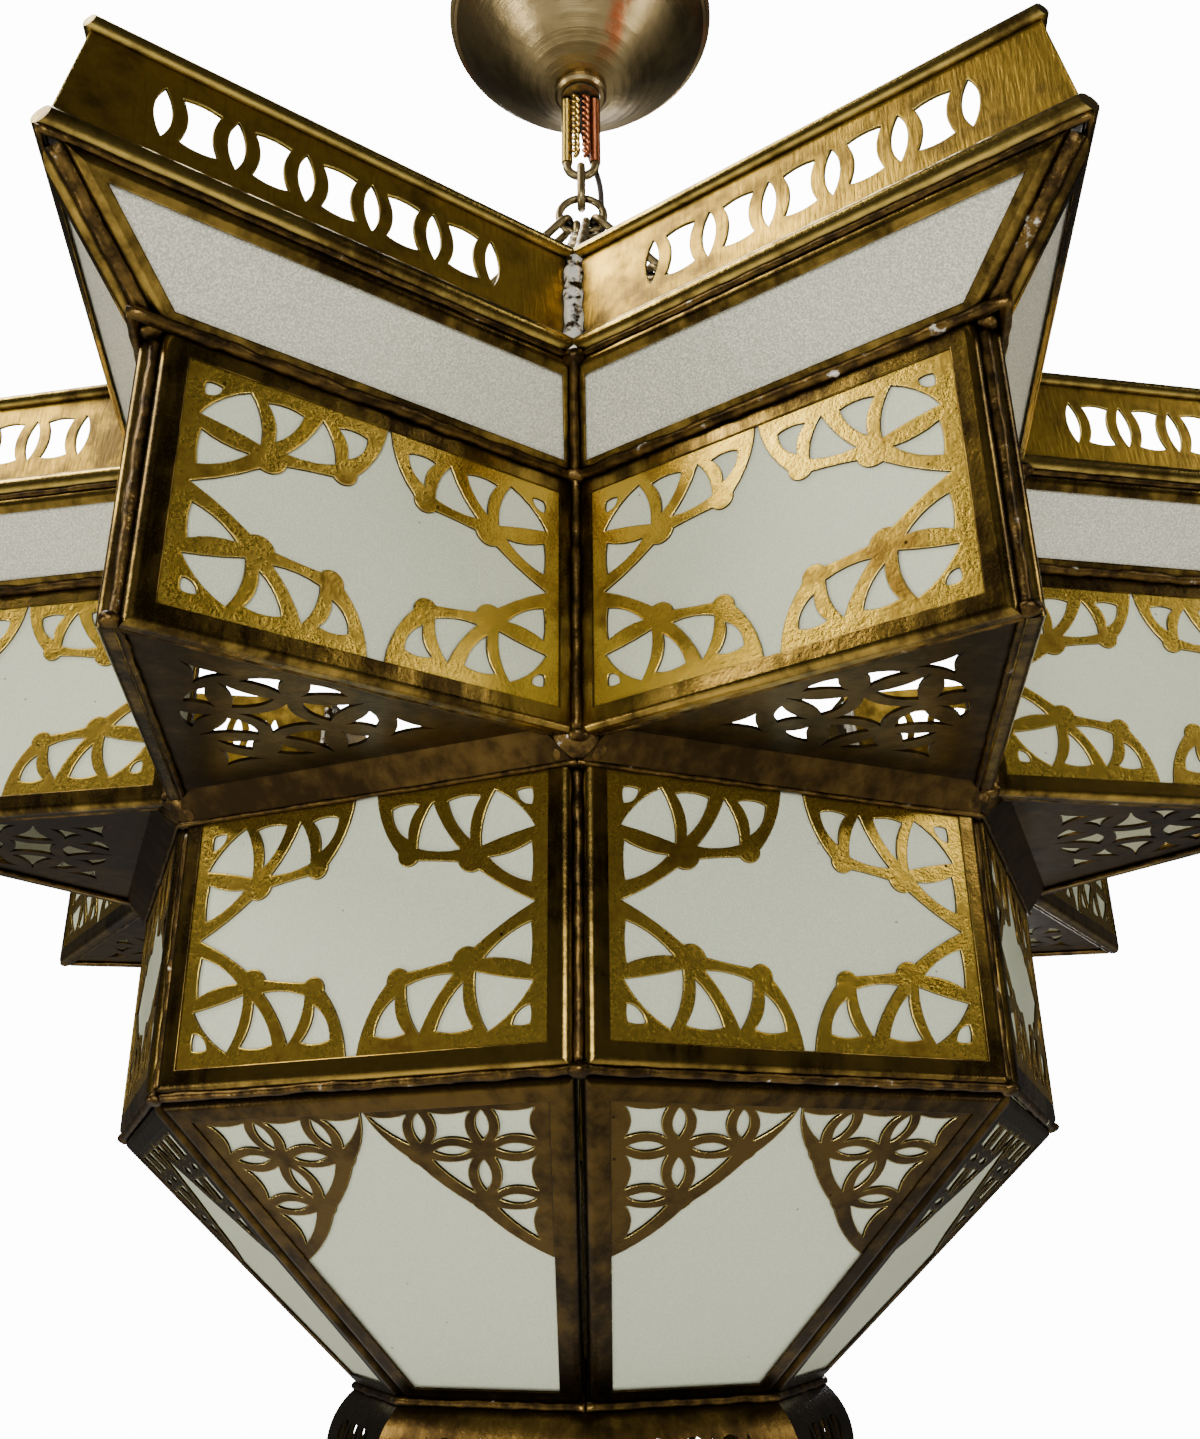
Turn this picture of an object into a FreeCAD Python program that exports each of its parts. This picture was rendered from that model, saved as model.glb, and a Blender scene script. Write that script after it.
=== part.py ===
# Eight-pointed star lantern pendant in brass and frosted glass, hung on four chains from a ceiling canopy.
# Millimetres, +Z up. The origin is the centre of the canopy's rim, on the ceiling. -Y faces the viewer,
# and one inner corner of the star points that way.
import FreeCAD, Part
import os
from math import sin, cos, tan, atan2, radians, pi, sqrt

V = FreeCAD.Vector

# ---------------------------------------------------------------- driving dimensions
POINTS = 8                     # star points, one on each side of the octagon
SECTOR = 360.0 / POINTS

# star plan, measured at the middle of the glass
STAR_TIP_R = 287.0
STAR_CORNER_R = 188.0
STAR_H = 86.0                  # height of the star band
FLARE_OUT = 22.5               # how far the flare leans out
FLARE_H = 27.0
GALLERY_H = 47.0
GALLERY_LEAN = 5.0             # the gallery leans in by this much at its top
BODY_R = 183.0                 # corner radius of the octagonal body
BODY_H = 92.0
BASE_R = 82.6                  # corner radius at the foot of the tapered base
BASE_H = 88.0
COLLAR_H = 40.0
COLLAR_BULGE = 10.0            # how far the bottom collar bulges
FINIAL_PROFILE = [(0, 0), (13, 0), (13, 2), (8, 4), (6, 8), (10, 12), (12, 17), (10, 22), (5, 26),
                  (3.5, 29), (4.5, 32), (3, 35), (0, 36)]    # radius and distance below the bottom plate
FINIAL_STUD_R = 3.0
FINIAL_STUD_L = 9.0
FINIAL_NUT_R = 6.0
FINIAL_NUT_H = 3.5
STUD_NUT_GAP = 0.5

# came (the U-shaped brass channel round each pane)
CAME_W = 7.0
CAME_D = 5.5
CAME_FRONT_R = 2.5
CAME_BACK_R = 1.2
FLARE_CAME_W = 5.0
FLARE_HEAD_GAP = 0.9           # from the flare's upper edge to the gallery's foot
FLARE_TIP_SHARE = 0.95         # of the full mitre at the flare's tips
GROOVE_D = 3.6
GLASS_T = 3.0
SHEET_T = 0.8                  # fretwork sheet
FIT = 0.05                     # clearance of glass and sheet in the groove
SHEET_TUCK = 3.0               # how far the fretwork reaches under the came
SEAM = 0.1                     # gap between neighbouring frames
LIP_EDGE = 0.05                # flat edge of the came's front lip
CLOSE = 1e-6                   # shorter edges are left out
SEAT_GAP = 0.3                 # gap where a leaning panel sits against an upright one

# fretwork
BORDER = 5.2                   # solid border along the cames
STRIP_W = 4.1
BLOB_BIG_R = 4.8
BLOB_SMALL_R = 3.7
BAND_TOP_GAP = 1.2
BAND_FOOT_GAP = 5.0
BODY_TOP_GAP = 8.0
BODY_FOOT_GAP = 3.6

# gallery sheet and its mouldings
GALLERY_T = 1.0
RING_PITCH = 19.8
RING_OPEN_H = 18.6             # height of the pierced openings
LENS_W = 4.9
RING_COUNT = 6                 # lens openings in a wall
RING_MID_Z = 24.8              # middle of the openings above the gallery's foot
ROLL_R = 2.6
BEAD_R = 3.4
TIP_BLUNT = 1.5                # how far the mouldings stand beyond the walls' tip edge
OPEN_FLARE = 1.9               # the concave openings widen by this towards their corners

# floor plates of the star points
PLATE_T = 1.0
PLATE_RISE = 1.6               # recess above the foot of the star band
PLATE_FOLD = 7.0               # from the octagon side to the fold of the plate's lip
PLATE_NOSE = 3.0               # cut off the plate's tip
ROUNDEL_R = 28.0
ROUNDEL_OUT = 43.5             # roundel centre, outward from the octagon side

# tapered base fretwork lattice
LATTICE_U = 20.0
LATTICE_V = 18.4
LATTICE_U0 = 10.8
LATTICE_V0 = 6.3
LATTICE_STRIP = 3.6
BASE_BLOB_R = 5.2
BASE_FOOT_SETBACK = 0.6        # of the lowest cames, up the slope

# chains, hook, loop
LINK_L = 31.15
LINK_W = 16.0
LINK_WIRE = 4.2
LINKS = 13
LINK_PLAY = 0.3
RING_R = 12.0                  # gather ring, to the middle of its wire
RING_WIRE = 4.0
SIDE_LINK_ANGLE = 50.0         # place of the side chains on the gather ring, from its lowest point
FRONT_LINK_X = 2.45            # front and back chains hang side by side
LUG_R = 6.0
LUG_WIRE = 4.0
LUG_BELOW_TOP = 9.0
LUG_BLOCK_UP = 5.0
LUG_BLOCK_DOWN = 6.0
HOOK_WIRE = 4.5
HOOK_SHANK = 15.7              # straight neck of the hook
PLAY = 0.3
LOOP_WIRE = 4.6
LOOP_R = 7.7
LOOP_L = 50.5                  # straight legs of the loop
BOSS_R = 10.6
BOSS_H = 15.0
BOSS_DROP = 2.0                # how far the boss stands below the collar ring
BOSS_FLOOR = 4.0               # thickness of the boss below its bore
RING_NUT_R = 14.5
RING_NUT_H = 5.0
RING_FIT = 0.3                 # clearance of the collar ring round the boss

# canopy and ceiling bracket
CANOPY_R = 75.0
CANOPY_H = 52.0
CANOPY_T = 1.2
CANOPY_FLAT_R = 16.0
CANOPY_SPREAD = 1.4            # shape of the bowl's profile
CANOPY_DEPTH = 1.8
CANOPY_ROWS = 14               # of the bowl's profile
CANOPY_FIT = 0.5               # clearance of the bowl's hole round the boss
CANOPY_STEPS_Z = -7.0          # the rim's steps start here
CANOPY_STEPS = [(5.0, -7.5), (4.0, -5.5), (2.5, -5.0), (2.0, -3.0), (0.6, -2.4), (0.0, -1.2), (0.0, 0.0)]
NIPPLE_R = 4.8
NIPPLE_BORE = 3.4
BRACKET_L = 105.0
BRACKET_W = 20.0
BRACKET_T = 2.5
BRACKET_SLOT = 12.0
BRACKET_HOLE_R = 2.3
BRACKET_HOLE_X = 44.5
EARTH_X = -28.0
EARTH_R = 2.0
EARTH_L = 4.3
EARTH_HEAD_R = 4.0
EARTH_HEAD_H = 2.5
THREAD_FIT = 0.05              # clearance round a threaded shank
BLOCK_L = 24.0                 # connector block
BLOCK_W = 12.0
BLOCK_H = 14.0
BLOCK_X = 26.0
LOCK_NUT_R = 8.0
LOCK_NUT_H = 3.5

# lamps
STRAP_W = 18.0
STRAP_T = 3.0
STRAP_RISE = 6.0               # above the foot of the gallery
STEM_R = 5.0
STEM_L = 150.0
STEM_WALL = 1.3
STEM_NUT_R = 9.0
STEM_NUT_H = 4.0
CUP_R = 24.0
CUP_H = 22.0
ARM_R = 62.0
ARM_W = 5.0
SLEEVE_R = 12.5
SLEEVE_H = 62.0
HOLDER_R = 9.5
LAMP_R = 17.0
LAMP_H = 78.0
LAMP_PROFILE = [(8.5, 0), (13, 9), (LAMP_R, 22), (LAMP_R - 0.6, 34), (12, 50), (6.5, 64), (2.5, LAMP_H - 4),
                (0, LAMP_H)]   # radius and height above the sleeve
LAMPS = 4

# supply flex
FLEX_R = 1.6

# ---------------------------------------------------------------- levels and places worked out
HALF = radians(SECTOR / 2.0)
TIP_HALF = atan2(STAR_CORNER_R * sin(HALF), STAR_TIP_R - STAR_CORNER_R * cos(HALF))
CORNER_HALF = TIP_HALF + HALF
WALL_L = STAR_CORNER_R * sin(HALF) / sin(TIP_HALF)
CAME_HALF = CAME_D / 2.0

LOOP_TOP_Z = -CANOPY_H - RING_NUT_H
LOOP_EYE_Z = LOOP_TOP_Z - LOOP_L - LOOP_R          # middle of the loop's lowest wire
HOOK_UP_Z = LOOP_EYE_Z                             # upper bend is centred on the loop's wire
HOOK_BEND_R = (LOOP_WIRE + HOOK_WIRE) / 2.0 + PLAY
HOOK_LOW_Z = HOOK_UP_Z - HOOK_SHANK - HOOK_BEND_R  # middle of the wire at the foot of the hook
RING_Z = HOOK_LOW_Z + (HOOK_WIRE + RING_WIRE) / 2.0 + PLAY - RING_R
SIDE_A = radians(SIDE_LINK_ANGLE)


def offset_in(d):
    """How far an outward offset d moves a wall's end along it at the inner corner."""
    return d / tan(CORNER_HALF)


def offset_tip(d):
    return d / tan(TIP_HALF)


def tip_radius(d):
    return STAR_TIP_R + d / sin(TIP_HALF)


def corner_radius(d):
    return STAR_CORNER_R + d / sin(CORNER_HALF)


GALLERY_TOP_OUT = FLARE_OUT - GALLERY_LEAN
LUG_CORNER_R = corner_radius(GALLERY_TOP_OUT + (FLARE_OUT - GALLERY_TOP_OUT) * LUG_BELOW_TOP / GALLERY_H
                             - GALLERY_T)
LUG_AT_R = LUG_CORNER_R - LUG_R - 3.0

# the chains' length sets how far the lantern hangs below the ceiling
LINK_END = LINK_L / 2.0 - LINK_WIRE
CHAIN_PITCH = LINK_L - 2.0 * LINK_WIRE - LINK_PLAY
CHAIN_D = (LINKS - 1) * CHAIN_PITCH + 2 * LINK_END - RING_WIRE / 2.0 - LUG_WIRE / 2.0 - 2 * PLAY
LUG_PULL = radians(48.0)                           # place of the last link on the lug
LUG_REACH_R = LUG_AT_R - LUG_R * cos(LUG_PULL)
LUG_Z = RING_Z - RING_R - sqrt(CHAIN_D ** 2 - LUG_REACH_R ** 2) - LUG_R * sin(LUG_PULL)

GALLERY_TOP_Z = LUG_Z + LUG_BELOW_TOP
GALLERY_FOOT_Z = GALLERY_TOP_Z - GALLERY_H
BAND_TOP_Z = GALLERY_FOOT_Z - FLARE_H
BAND_FOOT_Z = BAND_TOP_Z - STAR_H
BODY_FOOT_Z = BAND_FOOT_Z - BODY_H
BASE_FOOT_Z = BODY_FOOT_Z - BASE_H
COLLAR_FOOT_Z = BASE_FOOT_Z - COLLAR_H
BODY_SIDE = BODY_R * cos(HALF)                     # middle of a body side
BASE_SIDE = BASE_R * cos(HALF)
BASE_TILT = atan2(BODY_SIDE - BASE_SIDE, BASE_H)

made = {}


# ---------------------------------------------------------------- helpers
def placement(origin, x_dir, y_dir):
    """Frame with its x along x_dir and its z along x_dir cross y_dir."""
    x = V(x_dir).normalize()
    z = x.cross(V(y_dir)).normalize()
    y = z.cross(x)
    m = FreeCAD.Matrix(x.x, y.x, z.x, origin.x, x.y, y.y, z.y, origin.y, x.z, y.z, z.z, origin.z, 0, 0, 0, 1)
    return FreeCAD.Placement(m)


def placed(shape, place):
    out = shape.copy()
    out.Placement = place.multiply(out.Placement)
    return out


def turned(shape, angle):
    out = shape.copy()
    out.rotate(V(0, 0, 0), V(0, 0, 1), angle)
    return out


def mirrored(shape):
    return shape.mirror(V(0, 0, 0), V(1, 0, 0))


def polygon_face(points):
    pts = [V(p[0], p[1], 0) for p in points]
    return Part.Face(Part.makePolygon(pts + [pts[0]]))


def polygon_side(points):
    """Face across X from (y, z) points."""
    pts = [V(0, p[0], p[1]) for p in points]
    return Part.Face(Part.makePolygon(pts + [pts[0]]))


def prism(points, low, high):
    face = polygon_face(points)
    face.translate(V(0, 0, low))
    return face.extrude(V(0, 0, high - low))


def cylinder(radius, height, base, direction=V(0, 0, 1)):
    return Part.makeCylinder(radius, height, base, direction)


def revolved(points):
    """Solid of revolution about Z from (r, z) points."""
    pts = [V(r, 0, z) for r, z in points]
    return Part.Face(Part.makePolygon(pts + [pts[0]])).revolve(V(0, 0, 0), V(0, 0, 1), 360)


def solids(shape):
    return list(shape.Solids)


def keep(node, pieces):
    """Collects a node's separate solids."""
    made.setdefault(node, []).extend(pieces)


def all_points(pieces):
    """Copies one half-point's pieces to its mirror half and to every star point."""
    out = []
    for k in range(POINTS):
        for piece in pieces:
            out.append(turned(piece, SECTOR * (k + 0.5)))
            out.append(turned(mirrored(piece), SECTOR * (k + 0.5)))
    return out


def all_sides(pieces):
    """Copies one octagon side's pieces to all eight."""
    return [turned(piece, SECTOR * (k + 0.5)) for k in range(POINTS) for piece in pieces]


# ---------------------------------------------------------------- curved openings in sheet
def arc_or_line(a, b, bulge):
    """Edge from a to b whose middle lies bulge to the right of the line."""
    if abs(bulge) < 0.02:
        return Part.LineSegment(a, b).toShape()
    along = (b - a).normalize()
    side = V(along.y, -along.x, 0)
    return Part.Arc(a, (a + b) * 0.5 + side * bulge, b).toShape()


def curved_wire(points, bulges):
    pts = [V(p[0], p[1], 0) for p in points]
    n = len(pts)
    return Part.Wire([arc_or_line(pts[i], pts[(i + 1) % n], bulges[i]) for i in range(n)])


def inset(points, distances):
    """Anticlockwise polygon with each edge moved inwards by its own distance."""
    n = len(points)
    lines = []
    for i in range(n):
        ax, ay = points[i]
        bx, by = points[(i + 1) % n]
        length = sqrt((bx - ax) ** 2 + (by - ay) ** 2)
        ux, uy = (bx - ax) / length, (by - ay) / length
        lines.append((ax - uy * distances[i], ay + ux * distances[i], ux, uy))
    out = []
    for i in range(n):
        px, py, ux, uy = lines[i - 1]
        qx, qy, vx, vy = lines[i]
        t = ((qx - px) * vy - (qy - py) * vx) / (ux * vy - uy * vx)
        out.append((px + ux * t, py + uy * t))
    return out


def opening(points, distances, bulges):
    return curved_wire(inset(points, distances), bulges)


def pierced_sheet(outline, discs, holes, thickness):
    """Sheet from an outline wire, widened by round blobs, with openings cut through it."""
    sheet = Part.Face(outline).extrude(V(0, 0, thickness))
    if discs:
        sheet = sheet.multiFuse([cylinder(r, thickness, V(x, y, 0)) for x, y, r in discs]).removeSplitter()
    cuts = []
    for hole in holes:
        tool = Part.Face(hole).extrude(V(0, 0, thickness + 2))
        tool.translate(V(0, 0, -1))
        cuts.append(tool)
    return solids(sheet.cut(cuts))


# ---------------------------------------------------------------- frames and panes
def came_section(width):
    """U channel seen along its length: x from the outer edge inwards, y through the panel."""
    groove_low = -GLASS_T / 2.0 - FIT
    groove_high = GLASS_T / 2.0 + SHEET_T + FIT
    front = CAME_HALF
    back = -CAME_HALF
    outer = CAME_FRONT_R
    rear = CAME_BACK_R
    lip = min(CAME_FRONT_R, front - groove_high - LIP_EDGE)    # rounding of the front lip
    bow = 1.0 - 1.0 / sqrt(2.0)                                # a rounding's middle, off its corner
    edges = []

    def line(a, b):
        if V(a[0] - b[0], a[1] - b[1], 0).Length > CLOSE:
            edges.append(Part.LineSegment(V(a[0], a[1], 0), V(b[0], b[1], 0)).toShape())

    def arc(a, m, b):
        edges.append(Part.Arc(V(a[0], a[1], 0), V(m[0], m[1], 0), V(b[0], b[1], 0)).toShape())

    line((width, groove_low), (width, back + rear))
    arc((width, back + rear), (width - bow * rear, back + bow * rear), (width - rear, back))
    line((width - rear, back), (rear, back))
    arc((rear, back), (bow * rear, back + bow * rear), (0, back + rear))
    line((0, back + rear), (0, front - outer))
    arc((0, front - outer), (bow * outer, front - bow * outer), (outer, front))
    line((outer, front), (width - lip, front))
    arc((width - lip, front), (width - bow * lip, front - bow * lip), (width, front - lip))
    line((width, front - lip), (width, groove_high))
    line((width, groove_high), (width - GROOVE_D, groove_high))
    line((width - GROOVE_D, groove_high), (width - GROOVE_D, groove_low))
    line((width - GROOVE_D, groove_low), (width, groove_low))
    return Part.Face(Part.Wire(edges))


def came_bars(corners, width):
    """Four mitred cames round a pane whose outer corners run anticlockwise."""
    inner = inset(corners, [width] * len(corners))
    section = came_section(width)
    bars = []
    n = len(corners)
    for i in range(n):
        a, b = corners[i], corners[(i + 1) % n]
        a_in, b_in = inner[i], inner[(i + 1) % n]
        along = V(b[0] - a[0], b[1] - a[1], 0)
        length = along.Length
        along.normalize()
        inward = V(-along.y, along.x, 0)
        start = V(a[0], a[1], 0) - along * 12.0
        place = placement(start, inward, V(0, 0, 1))
        bar = placed(section, place).extrude(along * (length + 24.0))
        if bar.Volume < 0:
            bar.reverse()
        bars += solids(bar.common(prism([a, b, b_in, a_in], -CAME_D, CAME_D)))
    return bars


def rounding_centre(end, face, tilt):
    """Centre (outward, up) of a came's rounding at a panel's foot (end 1) or head (-1).

    face is 1 for the front and -1 for the back.
    """
    radius = CAME_FRONT_R if face > 0 else CAME_BACK_R
    along = end * radius
    through = face * (CAME_HALF - radius)
    return (along * sin(tilt) + through * cos(tilt), along * cos(tilt) - through * sin(tilt)), radius


def seat_setback(tilt, end):
    """How far a leaning panel's end stays off the edge it shares with an upright panel."""
    best = 0.0
    for face in (1, -1):
        (ax, az), radius = rounding_centre(end, face, tilt)
        (bx, bz), radius = rounding_centre(-end, face, 0.0)
        cx, cz = ax - bx, az - bz
        along = end * (cx * sin(tilt) + cz * cos(tilt))
        reach = 2.0 * radius + SEAT_GAP
        best = max(best, sqrt(along ** 2 - cx ** 2 - cz ** 2 + reach ** 2) - along)
    return best


def pane(corners, width):
    rim = width - GROOVE_D + FIT
    glass = prism(inset(corners, [rim] * len(corners)), -GLASS_T / 2.0, GLASS_T / 2.0)
    return [glass]


def seated_on_glass(pieces):
    out = []
    for piece in pieces:
        piece = piece.copy()
        piece.translate(V(0, 0, GLASS_T / 2.0))
        out.append(piece)
    return out


# ---------------------------------------------------------------- fretwork of interlaced arcs
def corner_openings(hw, hh):
    """Six openings in the corner at (0, 0) of a pane whose quarter is hw by hh."""
    a1 = (0.0, 0.46 * hh)
    a2 = (0.0, hh)
    b1 = (0.32 * hw, 0.0)
    b2 = (0.67 * hw, 0.0)
    b3 = (hw, 0.0)
    t1 = (0.42 * hw, 0.60 * hh)
    t2 = (0.79 * hw, 0.52 * hh)
    s = STRIP_W / 2.0
    e = BORDER
    wires = [
        opening([(0, 0), b1, a1], [e, s, e], [0.4, 1.3, 0.4]),
        opening([a1, b1, t1], [s, s, s], [1.4, 1.5, -0.3]),
        opening([b1, b2, t1], [e, s, s], [0.9, 1.2, -1.3]),
        opening([b2, t2, t1], [s, s, s], [1.3, 0.9, -0.9]),
        opening([b2, b3, t2], [e, s, s], [0.9, 1.6, -1.3]),
        opening([a1, t1, a2], [s, s, e], [-0.9, 1.2, 0.5]),
    ]
    return wires, (a2, b3, t1, t2)


def half_fret(hw, hh, top_gap, foot_gap):
    """Left half of a panel's fretwork; (0, 0) is the visible pane's lower left corner."""
    s = STRIP_W / 2.0
    foot_w = hw - foot_gap / 2.0
    top_w = hw - top_gap / 2.0
    m = SHEET_TUCK
    foot_holes, (a2, b3, t1, t2) = corner_openings(foot_w, hh)
    top_holes, (c2, d3, r1, r2) = corner_openings(top_w, hh)
    flip = FreeCAD.Matrix()
    flip.A22 = -1
    flip.A24 = 2 * hh
    top_holes = [w.transformGeometry(flip) for w in top_holes]
    foot_edge = inset([(0, 0), b3, t2, t1, a2], [m, -s, -s, -s, m])
    top_edge = inset([(0, 0), d3, r2, r1, c2], [m, -s, -s, -s, m])
    fx1, fy1 = foot_edge[3]
    # where the inner edge meets the middle line
    slope_x = (a2[0] - t1[0]) / (a2[1] - t1[1])
    notch_f = fx1 + (hh - fy1) * slope_x
    tx1, ty1 = top_edge[3]
    slope_t = (c2[0] - r1[0]) / (c2[1] - r1[1])
    notch_t = tx1 + (hh - ty1) * slope_t
    notch = max(notch_f, notch_t)
    up = lambda p: (p[0], 2 * hh - p[1])
    points = [(-m, -m), (foot_w, -m), (foot_w, 0), foot_edge[2], foot_edge[3], (notch, hh),
              up(top_edge[3]), up(top_edge[2]), (top_w, 2 * hh), (top_w, 2 * hh + m), (-m, 2 * hh + m)]
    bulges = [0, 0, 2.2, -0.4, 0.8, 0.8, -0.4, 2.2, 0, 0, 0]
    discs = [(t1[0], t1[1], BLOB_BIG_R), (t2[0], t2[1], BLOB_SMALL_R)]
    discs += [(r1[0], 2 * hh - r1[1], BLOB_BIG_R), (r2[0], 2 * hh - r2[1], BLOB_SMALL_R)]
    return pierced_sheet(curved_wire(points, bulges), discs, foot_holes + top_holes, SHEET_T)


def rectangle_fret(x0, x1, y0, y1, top_gap, foot_gap):
    """Both halves of a rectangular panel's fretwork, seated on the glass."""
    hw = (x1 - x0) / 2.0
    hh = (y1 - y0) / 2.0
    left = half_fret(hw, hh, top_gap, foot_gap)
    out = []
    for piece in seated_on_glass(left):
        other = piece.mirror(V(hw, 0, 0), V(1, 0, 0))
        for p in (piece, other):
            p.translate(V(x0, y0, 0))
            out.append(p)
    return out


# ---------------------------------------------------------------- star band, flare and gallery
def wall_place(offset, level, lean_out=0.0, rise=1.0):
    """Frame on a star wall: x from the tip towards the inner corner, y up the wall, z outwards."""
    corner = V(STAR_CORNER_R * sin(HALF), -STAR_CORNER_R * cos(HALF), 0)
    tip = V(0, -STAR_TIP_R, 0)
    along = (corner - tip).normalize()
    out = V(-along.y, along.x, 0) * -1.0
    up = V(0, 0, rise) + out * lean_out
    origin = tip + out * offset + V(0, 0, level)
    return placement(origin, along, up)


def half_sector(gap):
    """Wedge that holds one half of a star point, less half a seam on each side."""
    big = 500.0
    g = gap / 2.0
    x_out = big * tan(HALF)
    apex = -g / tan(HALF / 2.0)
    wedge = prism([(g, apex), (x_out - g / cos(HALF) + g, -big), (g, -big)], -1200.0, 200.0)
    if wedge.Volume < 0:
        wedge.reverse()
    return wedge


def trimmed(pieces, cutter):
    out = []
    for piece in pieces:
        out += solids(piece.common(cutter))
    return out


def corner_setback():
    """How far a came stops short of an inner corner so its rounded front just clears its neighbour's."""
    across = CAME_FRONT_R + SEAM / 2.0 + (CAME_HALF - CAME_FRONT_R) * cos(CORNER_HALF)
    return across / sin(CORNER_HALF) - CAME_FRONT_R


def star_band():
    start = CAME_HALF / tan(TIP_HALF) + SEAM
    end = WALL_L - corner_setback()
    corners = [(start, 0), (end, 0), (end, STAR_H), (start, STAR_H)]
    place = wall_place(0, BAND_FOOT_Z)
    bars = [placed(p, place) for p in came_bars(corners, CAME_W)]
    glass = [placed(p, place) for p in pane(corners, CAME_W)]
    fret = rectangle_fret(start + CAME_W, end - CAME_W, CAME_W, STAR_H - CAME_W, BAND_TOP_GAP, BAND_FOOT_GAP)
    fret = [placed(p, place) for p in fret]
    for k in range(POINTS):
        angle = SECTOR * (k + 0.5)
        both = [turned(b, angle) for b in bars] + [turned(mirrored(b), angle) for b in bars]
        keep("star_point_frame_%d" % (k + 1), both)
    keep("star_band_glass", all_points(glass))
    keep("star_band_fretwork", all_points(fret))


def tip_seams():
    """Solder run down the groove between the two cames at each tip."""
    out = V(cos(TIP_HALF), -sin(TIP_HALF), 0)
    depth = CAME_D * 0.62
    back_y = -(STAR_TIP_R - CAME_HALF / sin(TIP_HALF)) - SEAM
    x = out.x * depth - SEAM
    y = back_y + out.y * depth
    seam = prism([(0, back_y - 0.3), (-x, y), (x, y)], BAND_FOOT_Z + 0.5, BAND_TOP_Z - 0.5)
    if seam.Volume < 0:
        seam.reverse()
    keep("solder_seams", all_sides([seam]))


def flare():
    slope = sqrt(FLARE_OUT ** 2 + FLARE_H ** 2)
    foot = seat_setback(atan2(FLARE_OUT, FLARE_H), 1)
    head = slope - FLARE_HEAD_GAP
    d0 = FLARE_OUT * foot / slope
    d1 = FLARE_OUT * head / slope
    start = CAME_HALF / tan(TIP_HALF) * FLARE_TIP_SHARE
    corners = [(start - offset_tip(d0), foot), (WALL_L - offset_in(d0), foot),
               (WALL_L - offset_in(d1), head), (start - offset_tip(d1), head)]
    place = wall_place(0, BAND_TOP_Z, FLARE_OUT, FLARE_H)
    cutter = half_sector(SEAM)
    bars = trimmed([placed(p, place) for p in came_bars(corners, FLARE_CAME_W)], cutter)
    glass = trimmed([placed(p, place) for p in pane(corners, FLARE_CAME_W)], cutter)
    keep("flare_frames", all_points(bars))
    keep("flare_glass", all_points(glass))


def gallery_openings(mid_x, mid_y):
    """Lens openings with concave-sided openings between them: a row of interlaced rings."""
    h = RING_OPEN_H / 2.0
    lens = LENS_W / 2.0
    wires = []
    for i in range(RING_COUNT):
        x = mid_x + (i - (RING_COUNT - 1) / 2.0) * RING_PITCH
        wires.append(curved_wire([(x, mid_y - h), (x, mid_y + h)], [lens, lens]))
        if i < RING_COUNT - 1:
            c = x + RING_PITCH / 2.0
            waist = RING_PITCH / 2.0 - lens - STRIP_W
            edge = waist + OPEN_FLARE
            top = h - 1.0
            wires.append(curved_wire(
                [(c - edge, mid_y - top), (c + edge, mid_y - top),
                 (c + edge, mid_y + top), (c - edge, mid_y + top)],
                [1.0, waist - edge, 1.0, waist - edge]))
    return wires


def tip_block():
    """Space beyond the blunt ends of the mouldings, leaning with the gallery's tip edge."""
    foot = -tip_radius(FLARE_OUT) - TIP_BLUNT
    top = -tip_radius(GALLERY_TOP_OUT) - TIP_BLUNT
    lean = (top - foot) / GALLERY_H
    low = GALLERY_FOOT_Z - GALLERY_H
    high = GALLERY_TOP_Z + GALLERY_H
    side = polygon_side([(foot - lean * GALLERY_H, low), (top + lean * GALLERY_H, high),
                         (foot - GALLERY_H * 2, high), (foot - GALLERY_H * 2, low)])
    block = side.extrude(V(2 * GALLERY_H, 0, 0))
    block.translate(V(-GALLERY_H, 0, 0))
    if block.Volume < 0:
        block.reverse()
    return block


def gallery():
    slope = sqrt(GALLERY_LEAN ** 2 + GALLERY_H ** 2)
    spare = 60.0
    length = WALL_L - offset_in(FLARE_OUT) + offset_tip(FLARE_OUT)
    mid_x = -offset_tip(FLARE_OUT) + length / 2.0
    outline = curved_wire([(mid_x - length / 2 - spare, 0), (mid_x + length / 2 + spare, 0),
                           (mid_x + length / 2 + spare, slope), (mid_x - length / 2 - spare, slope)], [0] * 4)
    sheet = pierced_sheet(outline, [], gallery_openings(mid_x, RING_MID_Z), GALLERY_T)
    for s in sheet:
        s.translate(V(0, 0, -GALLERY_T))
    place = wall_place(FLARE_OUT, GALLERY_FOOT_Z, -GALLERY_LEAN, GALLERY_H)
    cutter = half_sector(0.0)
    walls = trimmed([placed(s, place) for s in sheet], cutter)
    for k in range(POINTS):
        angle = SECTOR * (k + 0.5)
        both = [turned(w, angle) for w in walls] + [turned(mirrored(w), angle) for w in walls]
        keep("gallery_point_%d" % (k + 1), both)
    rods = []
    for radius, y in ((ROLL_R, slope - ROLL_R), (BEAD_R, BEAD_R)):
        section = Part.Face(Part.Wire([
            Part.Arc(V(0, y - radius, 0), V(0, y, radius), V(0, y + radius, 0)).toShape(),
            Part.LineSegment(V(0, y + radius, 0), V(0, y - radius, 0)).toShape()]))
        section.translate(V(mid_x - length / 2 - spare, 0, 0))
        rods.append(section.extrude(V(length + 2 * spare, 0, 0)))
    rods = trimmed([placed(r, place) for r in rods], cutter)
    keep("gallery_mouldings", all_points([r.cut(tip_block()) for r in rods]))


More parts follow.
